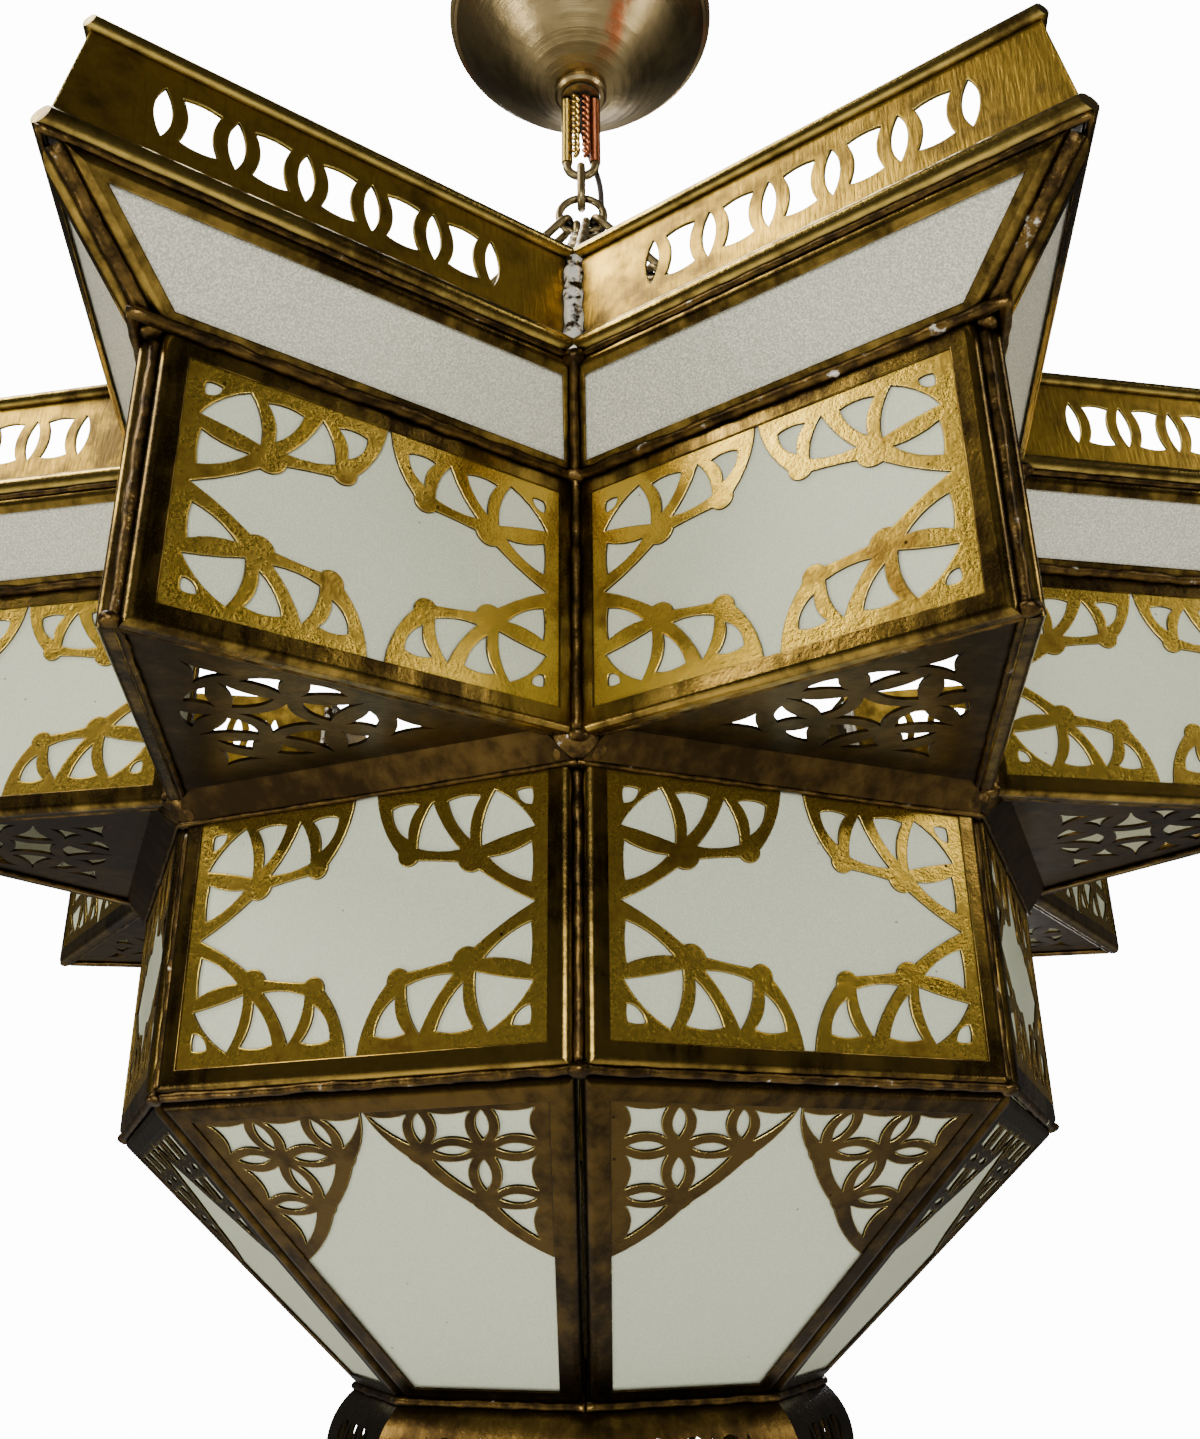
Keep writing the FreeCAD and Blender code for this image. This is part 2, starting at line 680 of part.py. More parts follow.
# ---------------------------------------------------------------- floor plates of the star points
def roundel_openings(cx, cy):
    """Roundel of eight interlaced arcs round a four-sided middle, with three spiky corners outside."""
    s = STRIP_W / 2.0
    node = 10.2
    rim = ROUNDEL_R
    side_x, side_y = 18.6, 20.7          # where the arcs meet the rim, seen from the top opening
    tip_x = 2.2
    base = []
    # middle opening
    base.append(([(node, node), (-node, node), (-node, -node), (node, -node)], [s] * 4, [-2.4] * 4))
    tri = ([(node, node), (tip_x, rim), (-tip_x, rim), (-node, node)],
           [s, 0.6, s, s], [-1.6, 0.1, -1.6, 2.2])
    out_r = ([(node, node), (side_x, side_y), (tip_x, rim)], [s, 0.6, s], [-1.3, 1.5, -1.2])
    out_l = ([(-tip_x, rim), (-side_x, side_y), (-node, node)], [0.6, s, s], [1.5, -1.3, -1.2])
    wires = [opening(*base[0])]
    for quarter in range(4):
        a = radians(90.0 * quarter)
        for pts, ins, bul in (tri, out_r, out_l):
            spun = [(p[0] * cos(a) - p[1] * sin(a), p[0] * sin(a) + p[1] * cos(a)) for p in pts]
            wires.append(opening(spun, ins, bul))
    wires.append(curved_wire([(-36.5, 24.0), (-30.0, 11.5), (-21.5, 23.6)], [-1.4, -1.6, -1.4]))
    wires.append(curved_wire([(36.5, 24.0), (21.5, 23.6), (30.0, 11.5)], [-1.4, -1.6, -1.4]))
    wires.append(curved_wire([(-6.6, -29.4), (0.0, -43.0), (6.6, -29.4)], [-1.6, -1.6, -1.6]))
    for w in wires:
        w.translate(V(cx, cy, 0))
    return wires


def floor_plates():
    side = STAR_CORNER_R * cos(HALF)
    fold = side + PLATE_FOLD
    clear = CAME_HALF + SEAM
    tip_y = STAR_TIP_R - clear / sin(TIP_HALF)
    along = tan(TIP_HALF)
    wide = (tip_y - fold) * along
    nose_w = PLATE_NOSE * along
    nose_y = -tip_y + PLATE_NOSE
    outline = curved_wire([(-wide, -fold), (-nose_w, nose_y), (nose_w, nose_y), (wide, -fold)], [0] * 4)
    sheet = pierced_sheet(outline, [], roundel_openings(0, -(side + ROUNDEL_OUT)), PLATE_T)
    level = BAND_FOOT_Z + PLATE_RISE
    plate = sheet[0]
    plate.translate(V(0, 0, level))
    # lip folded down against the body
    front = BODY_SIDE + CAME_HALF + SEAM
    drop = fold - front
    t = PLATE_T
    section = polygon_side([(-fold, level), (-fold, level + t), (-front, level + t - drop),
                            (-front, level - drop)])
    section.translate(V(-120, 0, 0))
    lip = section.extrude(V(240, 0, 0))
    reach = tan(HALF)
    near = front * reach - 0.4
    clip = prism([(-near, -front + 0.5), (-wide, -fold), (wide, -fold), (near, -front + 0.5)],
                 level - 30, level + 5)
    lip = lip.common(clip)
    plate = plate.fuse(lip).removeSplitter()
    keep("floor_plates", all_sides(solids(plate)))


# ---------------------------------------------------------------- body and tapered base
def body():
    half_w = BODY_R * sin(HALF)
    cut = CAME_HALF * tan(HALF) + SEAM
    edge = half_w - cut
    corners = [(-edge, 0), (edge, 0), (edge, BODY_H - SEAM), (-edge, BODY_H - SEAM)]
    place = placement(V(0, -BODY_SIDE, BODY_FOOT_Z), V(1, 0, 0), V(0, 0, 1))
    bars = [placed(p, place) for p in came_bars(corners, CAME_W)]
    glass = [placed(p, place) for p in pane(corners, CAME_W)]
    x = half_w - cut - CAME_W
    fret = rectangle_fret(-x, x, CAME_W, BODY_H - SEAM - CAME_W, BODY_TOP_GAP, BODY_FOOT_GAP)
    keep("body_frames", all_sides(bars))
    keep("body_glass", all_sides(glass))
    keep("body_fretwork", all_sides([placed(p, place) for p in fret]))
    # solder in the corner grooves, body and base
    depth = CAME_D * 0.55
    back = BODY_R - CAME_HALF / cos(HALF)
    seam_w = depth * sin(HALF) - SEAM / 2
    tip = back + depth * cos(HALF)
    seam = prism([(0, -back - 1.0), (-seam_w, -tip), (seam_w, -tip)], BODY_FOOT_Z + 0.5, BAND_FOOT_Z - 9.0)
    if seam.Volume < 0:
        seam.reverse()
    keep("solder_seams", [turned(seam, SECTOR * k) for k in range(POINTS)])


def base_lattice(width, slope_x, depth):
    """Corner fretwork of the tapered panel: interlaced rings.

    (0, 0) is the visible top left corner, y runs down.
    """
    u, v = LATTICE_U, LATTICE_V
    m = LATTICE_STRIP
    shear = lambda p: (p[0] + slope_x * p[1], -p[1])
    wires = []

    def square(i, j):
        cx = LATTICE_U0 + i * u
        cy = LATTICE_V0 + j * v
        a = u / 2.0 - m * 0.95
        b = v / 2.0 - m * 0.8
        top = max(cy - b, 1.6)
        return [(cx - a, top), (cx - a, cy + b), (cx + a, cy + b), (cx + a, top)]

    def add(points, bulges):
        wires.append(curved_wire([shear(p) for p in points], bulges))

    q = 1.9
    for i, j in ((0, 0), (1, 0), (0, 1)):
        add(square(i, j), [-q, -q, -q, -q * (0.5 if j == 0 else 1.0)])
    for i, j in ((2, 0), (1, 1), (0, 2)):
        pts = square(i, j)
        add([pts[0], pts[1], pts[3]], [-q, 0.9, -q * 0.6])
    lens_h = v / 2.0 - m
    for i, j in ((0, 0), (1, 0), (0, 1)):
        cx = LATTICE_U0 + (i + 0.5) * u
        cy = LATTICE_V0 + j * v
        low = max(cy - lens_h, 1.6)
        add([(cx, low), (cx, cy + lens_h)], [2.0, 2.0])
    lens_w = u / 2.0 - m - 0.6
    for i, j in ((0, 0), (1, 0), (0, 1)):
        cx = LATTICE_U0 + i * u
        cy = LATTICE_V0 + (j + 0.5) * v
        add([(cx - lens_w, cy), (cx + lens_w, cy)], [1.8, 1.8])
    node_a = (LATTICE_U0 + 1.5 * u, LATTICE_V0 + 0.5 * v)
    node_b = (LATTICE_U0 + 0.5 * u, LATTICE_V0 + 1.5 * v)
    s = m / 2.0 + 1.0
    tuck = SHEET_TUCK
    points = [(-tuck, -tuck), (-tuck, depth), (0.5, depth), (node_b[0] + s, node_b[1] + s),
              (node_a[0] + s, node_a[1] + s), (width, 0.0), (width, -tuck)]
    outline = curved_wire([shear(p) for p in points], [0, 0, 1.6, 1.0, 1.6, 0, 0])
    discs = [shear(node_a) + (BASE_BLOB_R,), shear(node_b) + (BASE_BLOB_R,)]
    return pierced_sheet(outline, discs, wires, SHEET_T)


def tapered_base():
    run = BODY_SIDE - BASE_SIDE
    slope = sqrt(run ** 2 + BASE_H ** 2)
    up = V(0, -run, BASE_H).normalize()
    head = slope - seat_setback(BASE_TILT, -1)
    foot = BASE_FOOT_SETBACK
    w_foot = BASE_R * sin(HALF)
    w_head = BODY_R * sin(HALF)
    grow = (w_head - w_foot) / slope
    half_angle = atan2(grow, 1.0)
    # half the angle between neighbouring faces sets the gap at their shared edge
    tilt = atan2(run, BASE_H)
    facing = cos(tilt) ** 2 * cos(radians(SECTOR)) + sin(tilt) ** 2
    cut = (CAME_HALF * tan(0.5 * atan2(sqrt(1 - facing ** 2), facing)) + SEAM) / cos(half_angle)
    corners = [(-(w_foot + grow * foot) + cut, foot), (w_foot + grow * foot - cut, foot),
               (w_foot + grow * head - cut, head), (-(w_foot + grow * head) + cut, head)]
    place = placement(V(0, -BASE_SIDE, BASE_FOOT_Z), V(1, 0, 0), up)
    bars = [placed(p, place) for p in came_bars(corners, CAME_W)]
    glass = [placed(p, place) for p in pane(corners, CAME_W)]
    inner = inset(corners, [CAME_W] * 4)
    left_x, top_y = inner[3]
    half_top = -left_x
    left = base_lattice(half_top - 0.4, grow, 3.05 * LATTICE_V)
    fret = []
    for piece in seated_on_glass(left):
        piece.translate(V(left_x, top_y, 0))
        fret.append(piece)
        fret.append(mirrored(piece))
    keep("base_frames", all_sides(bars))
    keep("base_glass", all_sides(glass))
    keep("base_fretwork", all_sides([placed(p, place) for p in fret]))


def side_wedge(gap):
    """Wedge that holds one octagon side, less half a seam on each side."""
    big = 400.0
    wide = big * tan(HALF) - gap / 2.0 / cos(HALF)
    wedge = prism([(0, -gap), (-wide, -big), (wide, -big)], -1200.0, 200.0)
    if wedge.Volume < 0:
        wedge.reverse()
    return wedge


def bottom_collar():
    """Bulged pierced plates, the octagonal bottom plate and the finial."""
    (nose_out, nose_up), nose_r = rounding_centre(1, 1, BASE_TILT)
    rim = BASE_SIDE + nose_out + BASE_FOOT_SETBACK * sin(BASE_TILT)
    top = BASE_FOOT_Z + nose_up + BASE_FOOT_SETBACK * cos(BASE_TILT) - nose_r - SEAT_GAP
    foot = COLLAR_FOOT_Z
    mid = (top + foot) / 2.0
    t = 1.0
    y = lambda r, z: V(0, -r, z)
    section = Part.Face(Part.Wire([
        Part.Arc(y(rim, top), y(rim + COLLAR_BULGE, mid), y(rim, foot)).toShape(),
        Part.LineSegment(y(rim, foot), y(rim - t, foot)).toShape(),
        Part.Arc(y(rim - t, foot), y(rim + COLLAR_BULGE - t, mid), y(rim - t, top)).toShape(),
        Part.LineSegment(y(rim - t, top), y(rim, top)).toShape()]))
    section.translate(V(-60, 0, 0))
    plate = section.extrude(V(120, 0, 0))
    plate = plate.common(side_wedge(SEAM))
    holes = []
    pitch = 12.6
    for i in range(4):
        x = (i - 1.5) * pitch
        wire = curved_wire([(x, -10.5), (x, 10.5)], [2.6, 2.6])
        holes.append(wire)
        if i < 3:
            c = x + pitch / 2.0
            holes.append(curved_wire([(c - 2.6, -9.6), (c + 2.6, -9.6), (c + 2.6, 9.6), (c - 2.6, 9.6)],
                                     [0.8, -1.5, 0.8, -1.5]))
    place = placement(V(0, -rim + 8, mid), V(1, 0, 0), V(0, 0, 1))
    tools = [placed(Part.Face(w).extrude(V(0, 0, 40)), place) for w in holes]
    plate = plate.cut(tools)
    keep("collar_plates", all_sides(solids(plate)))
    # octagonal bottom plate with eight lens openings
    r = (rim - t - 0.1) / cos(HALF)
    corners = [(r * sin(HALF * (2 * k)), -r * cos(HALF * (2 * k))) for k in range(POINTS)]
    sheet = prism(corners, foot, foot + 1.5)
    if sheet.Volume < 0:
        sheet.reverse()
    cuts = []
    for k in range(POINTS):
        lens = Part.Face(curved_wire([(0, -58), (0, -24)], [5.5, 5.5])).extrude(V(0, 0, 10))
        lens.translate(V(0, 0, foot - 4))
        cuts.append(turned(lens, SECTOR * (k + 0.5)))
    sheet = sheet.cut(cuts + [cylinder(3.1, 10, V(0, 0, foot - 4))])
    keep("bottom_plate", solids(sheet))
    f = foot
    profile = [(r, f - down) for r, down in FINIAL_PROFILE]
    keep("finial", solids(revolved(profile)))
    stud = cylinder(FINIAL_STUD_R, FINIAL_STUD_L, V(0, 0, f))
    stud_nut = cylinder(FINIAL_NUT_R, FINIAL_NUT_H, V(0, 0, f + PLATE_T + STUD_NUT_GAP))
    keep("finial", solids(stud.fuse(stud_nut).removeSplitter()))


# ---------------------------------------------------------------- suspension
def torus_part(bend_r, wire, centre, axis, start_dir, sweep):
    """Bent round wire: start_dir points from the bend's centre to its start."""
    start = V(start_dir).normalize()
    circle = Part.Circle(centre + start * bend_r, start.cross(V(axis)).normalize(), wire / 2.0)
    face = Part.Face(Part.Wire([circle.toShape()]))
    return face.revolve(centre, axis, sweep)


def link():
    """Oval chain link, long axis along z, flat in the xz plane."""
    r = (LINK_W - LINK_WIRE) / 2.0
    h = (LINK_L - LINK_W) / 2.0
    y = V(0, 1, 0)
    top = torus_part(r, LINK_WIRE, V(0, 0, h), y, V(-1, 0, 0), 180)
    foot = torus_part(r, LINK_WIRE, V(0, 0, -h), y, V(1, 0, 0), 180)
    left = cylinder(LINK_WIRE / 2.0, 2 * h, V(-r, 0, -h))
    right = cylinder(LINK_WIRE / 2.0, 2 * h, V(r, 0, -h))
    return solids(top.multiFuse([foot, left, right]).removeSplitter())[0]


def chain(start, end, first_side):
    """Links from the gather ring's wire to the lug's wire; first_side is the first link's width axis."""
    way = end - start
    length = way.Length
    way.normalize()
    first = LINK_END - RING_WIRE / 2.0 - PLAY
    last = LINK_END - LUG_WIRE / 2.0 - PLAY
    pitch = (length - first - last) / (LINKS - 1)
    side = V(first_side).normalize()
    other = way.cross(side).normalize()
    one = link()
    out = []
    for i in range(LINKS):
        across = side if i % 2 == 0 else other
        # x of the link goes along its width and z along the chain
        y_axis = way.cross(across).normalize()
        place = placement(start + way * (first + pitch * i), across, y_axis)
        out.append(placed(one, place))
    return out


def lug(pull, flat):
    """Wire eye on a block that sits over the inner ridge of a gallery corner, for the chain at azimuth 0."""
    centre = V(0, -LUG_AT_R, LUG_Z)
    inward = V(0, 1, 0)
    if flat:
        eye = Part.makeTorus(LUG_R, LUG_WIRE / 2.0, centre, V(0, -sin(pull), cos(pull)))
    else:
        eye = Part.makeTorus(LUG_R, LUG_WIRE / 2.0, centre, V(1, 0, 0))
    lean = GALLERY_LEAN / GALLERY_H / sin(CORNER_HALF)
    ridge = LUG_CORNER_R - lean * LUG_BLOCK_UP - SEAM
    flank = 9.0
    wing_x = flank * sin(CORNER_HALF)
    wing_y = flank * cos(CORNER_HALF)
    face_r = LUG_AT_R + LUG_R - 2.5
    block = prism([(0, -ridge), (-wing_x, -ridge - wing_y), (-wing_x + 1.5, -face_r), (wing_x - 1.5, -face_r),
                   (wing_x, -ridge - wing_y)], LUG_Z - LUG_BLOCK_DOWN, LUG_Z + LUG_BLOCK_UP)
    if block.Volume < 0:
        block.reverse()
    return solids(eye.fuse(block).removeSplitter())[0]


def suspension():
    ring_c = V(0, 0, RING_Z)
    keep("gather_ring", [Part.makeTorus(RING_R, RING_WIRE / 2.0, ring_c, V(0, 1, 0))])
    names = ("chain_front", "chain_right", "chain_back", "chain_left")
    for k in range(4):
        angle = 90.0 * k
        out = V(sin(radians(angle)), -cos(radians(angle)), 0)
        side = k % 2 == 1
        pull = LUG_PULL
        lug_shape = turned(lug(pull, not side), angle)
        keep("chain_lugs", [lug_shape])
        end = out * (LUG_AT_R - LUG_R * cos(pull)) + V(0, 0, LUG_Z + LUG_R * sin(pull))
        if side:
            x = RING_R * sin(SIDE_A)
            start = V(out.x * x, 0, RING_Z - RING_R * cos(SIDE_A))
            first_side = V(0, 1, 0)
        else:
            x = FRONT_LINK_X if k == 0 else -FRONT_LINK_X
            start = V(x, 0, RING_Z - sqrt(RING_R ** 2 - x ** 2))
            first_side = (end - start).cross(V(1, 0, 0))
        keep(names[k], chain(start, end, first_side))


def hanging_hook():
    """Open hook bent from one wire: an eye over the loop's foot, a straight neck and an open bend below."""
    x = V(1, 0, 0)
    r = HOOK_BEND_R
    up_c = V(0, 0, HOOK_UP_Z)
    low_c = V(0, 0, HOOK_LOW_Z + r)
    eye = torus_part(r, HOOK_WIRE, up_c, x, V(0, -1, 0), -235)
    neck = cylinder(HOOK_WIRE / 2.0, up_c.z - low_c.z, V(0, -r, low_c.z))
    bend = torus_part(r, HOOK_WIRE, low_c, x, V(0, -1, 0), 195)
    return solids(eye.multiFuse([neck, bend]).removeSplitter())


def hanging_loop():
    """Threaded boss with a long wire loop under it."""
    y = V(0, 1, 0)
    boss_foot = LOOP_TOP_Z - BOSS_DROP
    boss = cylinder(BOSS_R, BOSS_H, V(0, 0, boss_foot))
    foot_c = V(0, 0, LOOP_EYE_Z + LOOP_R)
    bend = torus_part(LOOP_R, LOOP_WIRE, foot_c, y, V(1, 0, 0), 180)
    leg = LOOP_TOP_Z - foot_c.z + 4.0
    legs = [cylinder(LOOP_WIRE / 2.0, leg, V(s * LOOP_R, 0, foot_c.z)) for s in (-1, 1)]
    body = boss.multiFuse([bend] + legs).removeSplitter()
    bore = cylinder(NIPPLE_R + THREAD_FIT, BOSS_H, V(0, 0, boss_foot + BOSS_FLOOR))
    exit_hole = cylinder(FLEX_R + 0.6, BOSS_H, V(0, 0, boss_foot - 1.0))
    return solids(body.cut([bore, exit_hole]))


def canopy():
    """Spun bowl, flat round its hole, with shallow steps near the rim."""
    rows = []
    for i in range(CANOPY_ROWS + 1):
        a = radians(90.0 * i / CANOPY_ROWS)
        r = CANOPY_FLAT_R + (CANOPY_R - CANOPY_FLAT_R) * sin(a) ** CANOPY_SPREAD
        z = -CANOPY_H * cos(a) ** CANOPY_DEPTH if i < CANOPY_ROWS else 0.0
        rows.append((r, z))
    # two beaded steps near the rim
    rows = [(r, z) for r, z in rows if z < CANOPY_STEPS_Z]
    rows += [(CANOPY_R - back, z) for back, z in CANOPY_STEPS]
    hole = BOSS_R + CANOPY_FIT
    outer = [(hole, -CANOPY_H)] + rows
    inner = [(max(r - CANOPY_T, hole), z + (CANOPY_T if z < -8.0 else 0.0)) for r, z in rows[::-1]]
    inner = [p for p in inner if p[0] > hole + 0.01] + [(hole, -CANOPY_H + CANOPY_T)]
    keep("canopy", solids(revolved(outer + inner)))
    ring_z = -CANOPY_H - RING_NUT_H
    bore = BOSS_R + RING_FIT
    head = -CANOPY_H - SEAM
    ring = revolved([(bore, ring_z), (RING_NUT_R - 1.5, ring_z), (RING_NUT_R, ring_z + 1.5),
                     (RING_NUT_R, head - 1.4), (RING_NUT_R - 1.0, head), (bore, head)])
    keep("collar_ring", solids(ring))


def nut(radius, height, bore, level):
    """Hexagonal nut with its lower face at the level given."""
    hexagon = [(radius * cos(radians(60 * k)), radius * sin(radians(60 * k))) for k in range(6)]
    return solids(prism(hexagon, level, level + height).cut(cylinder(bore, height + 2, V(0, 0, level - 1))))


def ceiling_fitting():
    """Slotted strap flush with the ceiling, hollow nipple, lock nut, connector block and earth screw."""
    half = BRACKET_L / 2.0
    strap = Part.makeBox(BRACKET_L, BRACKET_W, BRACKET_T, V(-half, -BRACKET_W / 2, -BRACKET_T))
    cuts = [cylinder(NIPPLE_R + THREAD_FIT, 20, V(0, 0, -10)),
            cylinder(EARTH_R + THREAD_FIT, 20, V(EARTH_X, 0, -10))]
    straight = BRACKET_SLOT - 2 * BRACKET_HOLE_R
    for x in (-BRACKET_HOLE_X, BRACKET_HOLE_X):
        cuts.append(Part.makeBox(straight, 2 * BRACKET_HOLE_R, 20, V(x - straight / 2, -BRACKET_HOLE_R, -10)))
        cuts += [cylinder(BRACKET_HOLE_R, 20, V(x + e * straight / 2, 0, -10)) for e in (-1, 1)]
    keep("ceiling_bracket", solids(strap.cut(cuts)))
    foot = LOOP_TOP_Z - BOSS_DROP + BOSS_FLOOR + 0.5
    tube = cylinder(NIPPLE_R, -foot, V(0, 0, foot)).cut(cylinder(NIPPLE_BORE, -foot + 2, V(0, 0, foot - 1)))
    keep("threaded_nipple", solids(tube))
    keep("lock_nut", nut(LOCK_NUT_R, LOCK_NUT_H, NIPPLE_R + THREAD_FIT, -BRACKET_T - LOCK_NUT_H))
    corner = V(BLOCK_X - BLOCK_L / 2, -BLOCK_W / 2, -BRACKET_T - BLOCK_H)
    block = Part.makeBox(BLOCK_L, BLOCK_W, BLOCK_H, corner)
    screws = [cylinder(2.2, 4, V(BLOCK_X + e * BLOCK_L / 4, 0, -BRACKET_T - BLOCK_H - 2)) for e in (-1, 1)]
    keep("connector_block", solids(block.cut(screws)))
    shank = cylinder(EARTH_R, EARTH_L, V(EARTH_X, 0, -EARTH_L - 0.2))
    head = cylinder(EARTH_HEAD_R, EARTH_HEAD_H, V(EARTH_X, 0, -BRACKET_T - EARTH_HEAD_H))
    keep("earth_screw", solids(shank.fuse(head).removeSplitter()))


# ---------------------------------------------------------------- lamps inside
def lamp_cluster():
    strap_z = GALLERY_FOOT_Z + STRAP_RISE
    strap_lean = GALLERY_LEAN * (STRAP_RISE + STRAP_T) / GALLERY_H
    reach = corner_radius(FLARE_OUT - strap_lean - GALLERY_T) - SEAM
    w = STRAP_W / 2.0
    back = w / tan(CORNER_HALF)
    far = reach + back
    ends = [(reach, 0), (far, w), (-far, w), (-reach, 0), (-far, -w), (far, -w)]
    strap = prism(ends, strap_z, strap_z + STRAP_T)
    if strap.Volume < 0:
        strap.reverse()
    strap = strap.cut(cylinder(STEM_R + 0.1, 20, V(0, 0, strap_z - 5)))
    keep("cross_strap", solids(strap))
    stem_top = strap_z + STRAP_T + 9.0
    stem_foot = stem_top - STEM_L
    stem = cylinder(STEM_R, STEM_L, V(0, 0, stem_foot))
    stem = stem.cut(cylinder(STEM_R - STEM_WALL, STEM_L + 2, V(0, 0, stem_foot - 1)))
    keep("stem_tube", solids(stem))
    for z in (strap_z + STRAP_T, strap_z - STEM_NUT_H):
        keep("stem_nuts", nut(STEM_NUT_R, STEM_NUT_H, STEM_R + THREAD_FIT, z))
    cup_top = stem_foot + 8.0
    cup_foot = cup_top - CUP_H
    cup = revolved([(STEM_R + 0.1, cup_top), (9.0, cup_top), (CUP_R - 6, cup_top - 3), (CUP_R, cup_top - 8),
                    (CUP_R, cup_top - 14), (CUP_R - 8, cup_foot), (4.0, cup_foot - 6), (0, cup_foot - 7),
                    (0, stem_foot - 0.5), (STEM_R + 0.1, stem_foot - 0.5)])
    arm_z = cup_top - 11.0
    arms = []
    pans = []
    for k in range(LAMPS):
        angle = 90.0 * k + 45.0
        bar = cylinder(ARM_W / 2.0, ARM_R - 9.0, V(0, -9.0, arm_z), V(0, -1, 0))
        base = arm_z + ARM_W / 2.0
        pan = revolved([(0, base - 7), (8, base - 7), (20, base - 1.5), (22, base + 3), (20.5, base + 3),
                        (18.5, base), (0, base)])
        pan.translate(V(0, -ARM_R, 0))
        arms.append(turned(bar, angle))
        pans.append(turned(pan, angle))
        sleeve = cylinder(SLEEVE_R, SLEEVE_H, V(0, -ARM_R, base)).cut(
            cylinder(SLEEVE_R - 1.5, SLEEVE_H + 2, V(0, -ARM_R, base - 1)))
        keep("candle_sleeves", [turned(s, angle) for s in solids(sleeve)])
        holder = cylinder(HOLDER_R, SLEEVE_H - 3.0, V(0, -ARM_R, base)).cut(
            cylinder(7.3, 26.0, V(0, -ARM_R, base + SLEEVE_H - 29.0)))
        keep("lamp_holders", [turned(s, angle) for s in solids(holder)])
        z0 = base + SLEEVE_H - 28.0
        z1 = base + SLEEVE_H + 0.5
        cap = [(0, z0), (3, z0), (6.9, z0 + 4), (6.9, z1 - 1)]
        lamp = revolved(cap + [(r, z1 + up) for r, up in LAMP_PROFILE])
        lamp.translate(V(0, -ARM_R, 0))
        keep("lamp_%d" % (k + 1), [turned(s, angle) for s in solids(lamp)])
    fused = cup.multiFuse(arms + pans).removeSplitter()
    keep("lamp_cluster", solids(fused))
    return stem_top


# ---------------------------------------------------------------- supply flex
def bent_tube(points, radius):
    """Tube along straight runs joined by tangent arcs."""
    pts = [V(*p) for p in points]
    edges = []
    at = pts[0]
    worst = None
    for i in range(1, len(pts) - 1):
        before = pts[i - 1] - pts[i]
        after = pts[i + 1] - pts[i]
        short = min(before.Length, after.Length)
        turn = pi - before.getAngle(after)
        bend = 0.45 * short / tan(turn / 2.0)
        worst = bend if worst is None else min(worst, bend)
        reach = 0.45 * short
        a = pts[i] + before.normalize() * reach
        b = pts[i] + after.normalize() * reach
        toward = (a + b) * 0.5 - pts[i]
        centre = pts[i] + toward.normalize() * (bend / cos(turn / 2.0))
        mid = centre + (pts[i] - centre).normalize() * bend
        edges.append(Part.LineSegment(at, a).toShape())
        edges.append(Part.Arc(a, mid, b).toShape())
        at = b
    edges.append(Part.LineSegment(at, pts[-1]).toShape())
    path = Part.Wire(edges)
    start = pts[1] - pts[0]
    profile = Part.Wire([Part.Circle(pts[0], start, radius).toShape()])
    tube = path.makePipeShell([profile], True, False)
    print("flex: length %.1f, tightest bend %.1f, volume ratio %.4f"
          % (path.Length, worst, tube.Volume / (path.Length * pi * radius ** 2)))
    return tube


FLEX_JOIN = (10.8, 10.8, -124.0)                   # where the two stretches meet, carried by the hook


def supply_flex(stem_top):
    out_z = LOOP_TOP_Z - BOSS_DROP
    jx, jy, jz = FLEX_JOIN
    upper = [(0, 0, out_z), (0.2, 0.8, out_z - 12.0), (1.8, 4.2, out_z - 26.0), (6.6, 8.8, out_z - 39.0),
             (jx, jy, jz + 12.0), FLEX_JOIN]
    lower = [FLEX_JOIN, (jx, jy, jz - 14.0), (jx + 1.6, jy + 1.2, jz - 38.0), (jx + 0.2, jy + 3.4, jz - 82.0),
             (jx - 2.4, jy + 1.6, jz - 127.0), (jx - 7.0, jy - 3.2, jz - 174.0),
             (jx - 9.6, jy - 9.0, jz - 219.0),
             (0, 0, stem_top + 20.0), (0, 0, stem_top)]
    keep("flex_upper", solids(bent_tube(upper, FLEX_R)))
    keep("flex_lower", solids(bent_tube(lower, FLEX_R)))


def main():
    star_band()
    tip_seams()
    flare()
    gallery()
    floor_plates()
    body()
    tapered_base()
    bottom_collar()
    suspension()
    keep("hanging_hook", hanging_hook())
    keep("hanging_loop", hanging_loop())
    canopy()
    ceiling_fitting()
    stem_top = lamp_cluster()
    supply_flex(stem_top)
    os.makedirs("parts", exist_ok=True)
    for node, pieces in made.items():
        shape = pieces[0] if len(pieces) == 1 else Part.makeCompound(pieces)
        shape.exportStep("parts/%s.step" % node)
    print(len(made), "nodes; levels", round(GALLERY_TOP_Z, 1), round(BAND_FOOT_Z, 1), round(COLLAR_FOOT_Z, 1),
          "ring", round(RING_Z, 1), "hook", round(HOOK_UP_Z, 1), round(HOOK_LOW_Z, 1))


main()
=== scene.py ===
import bpy
import bmesh
import math
from mathutils import Vector, Matrix, noise


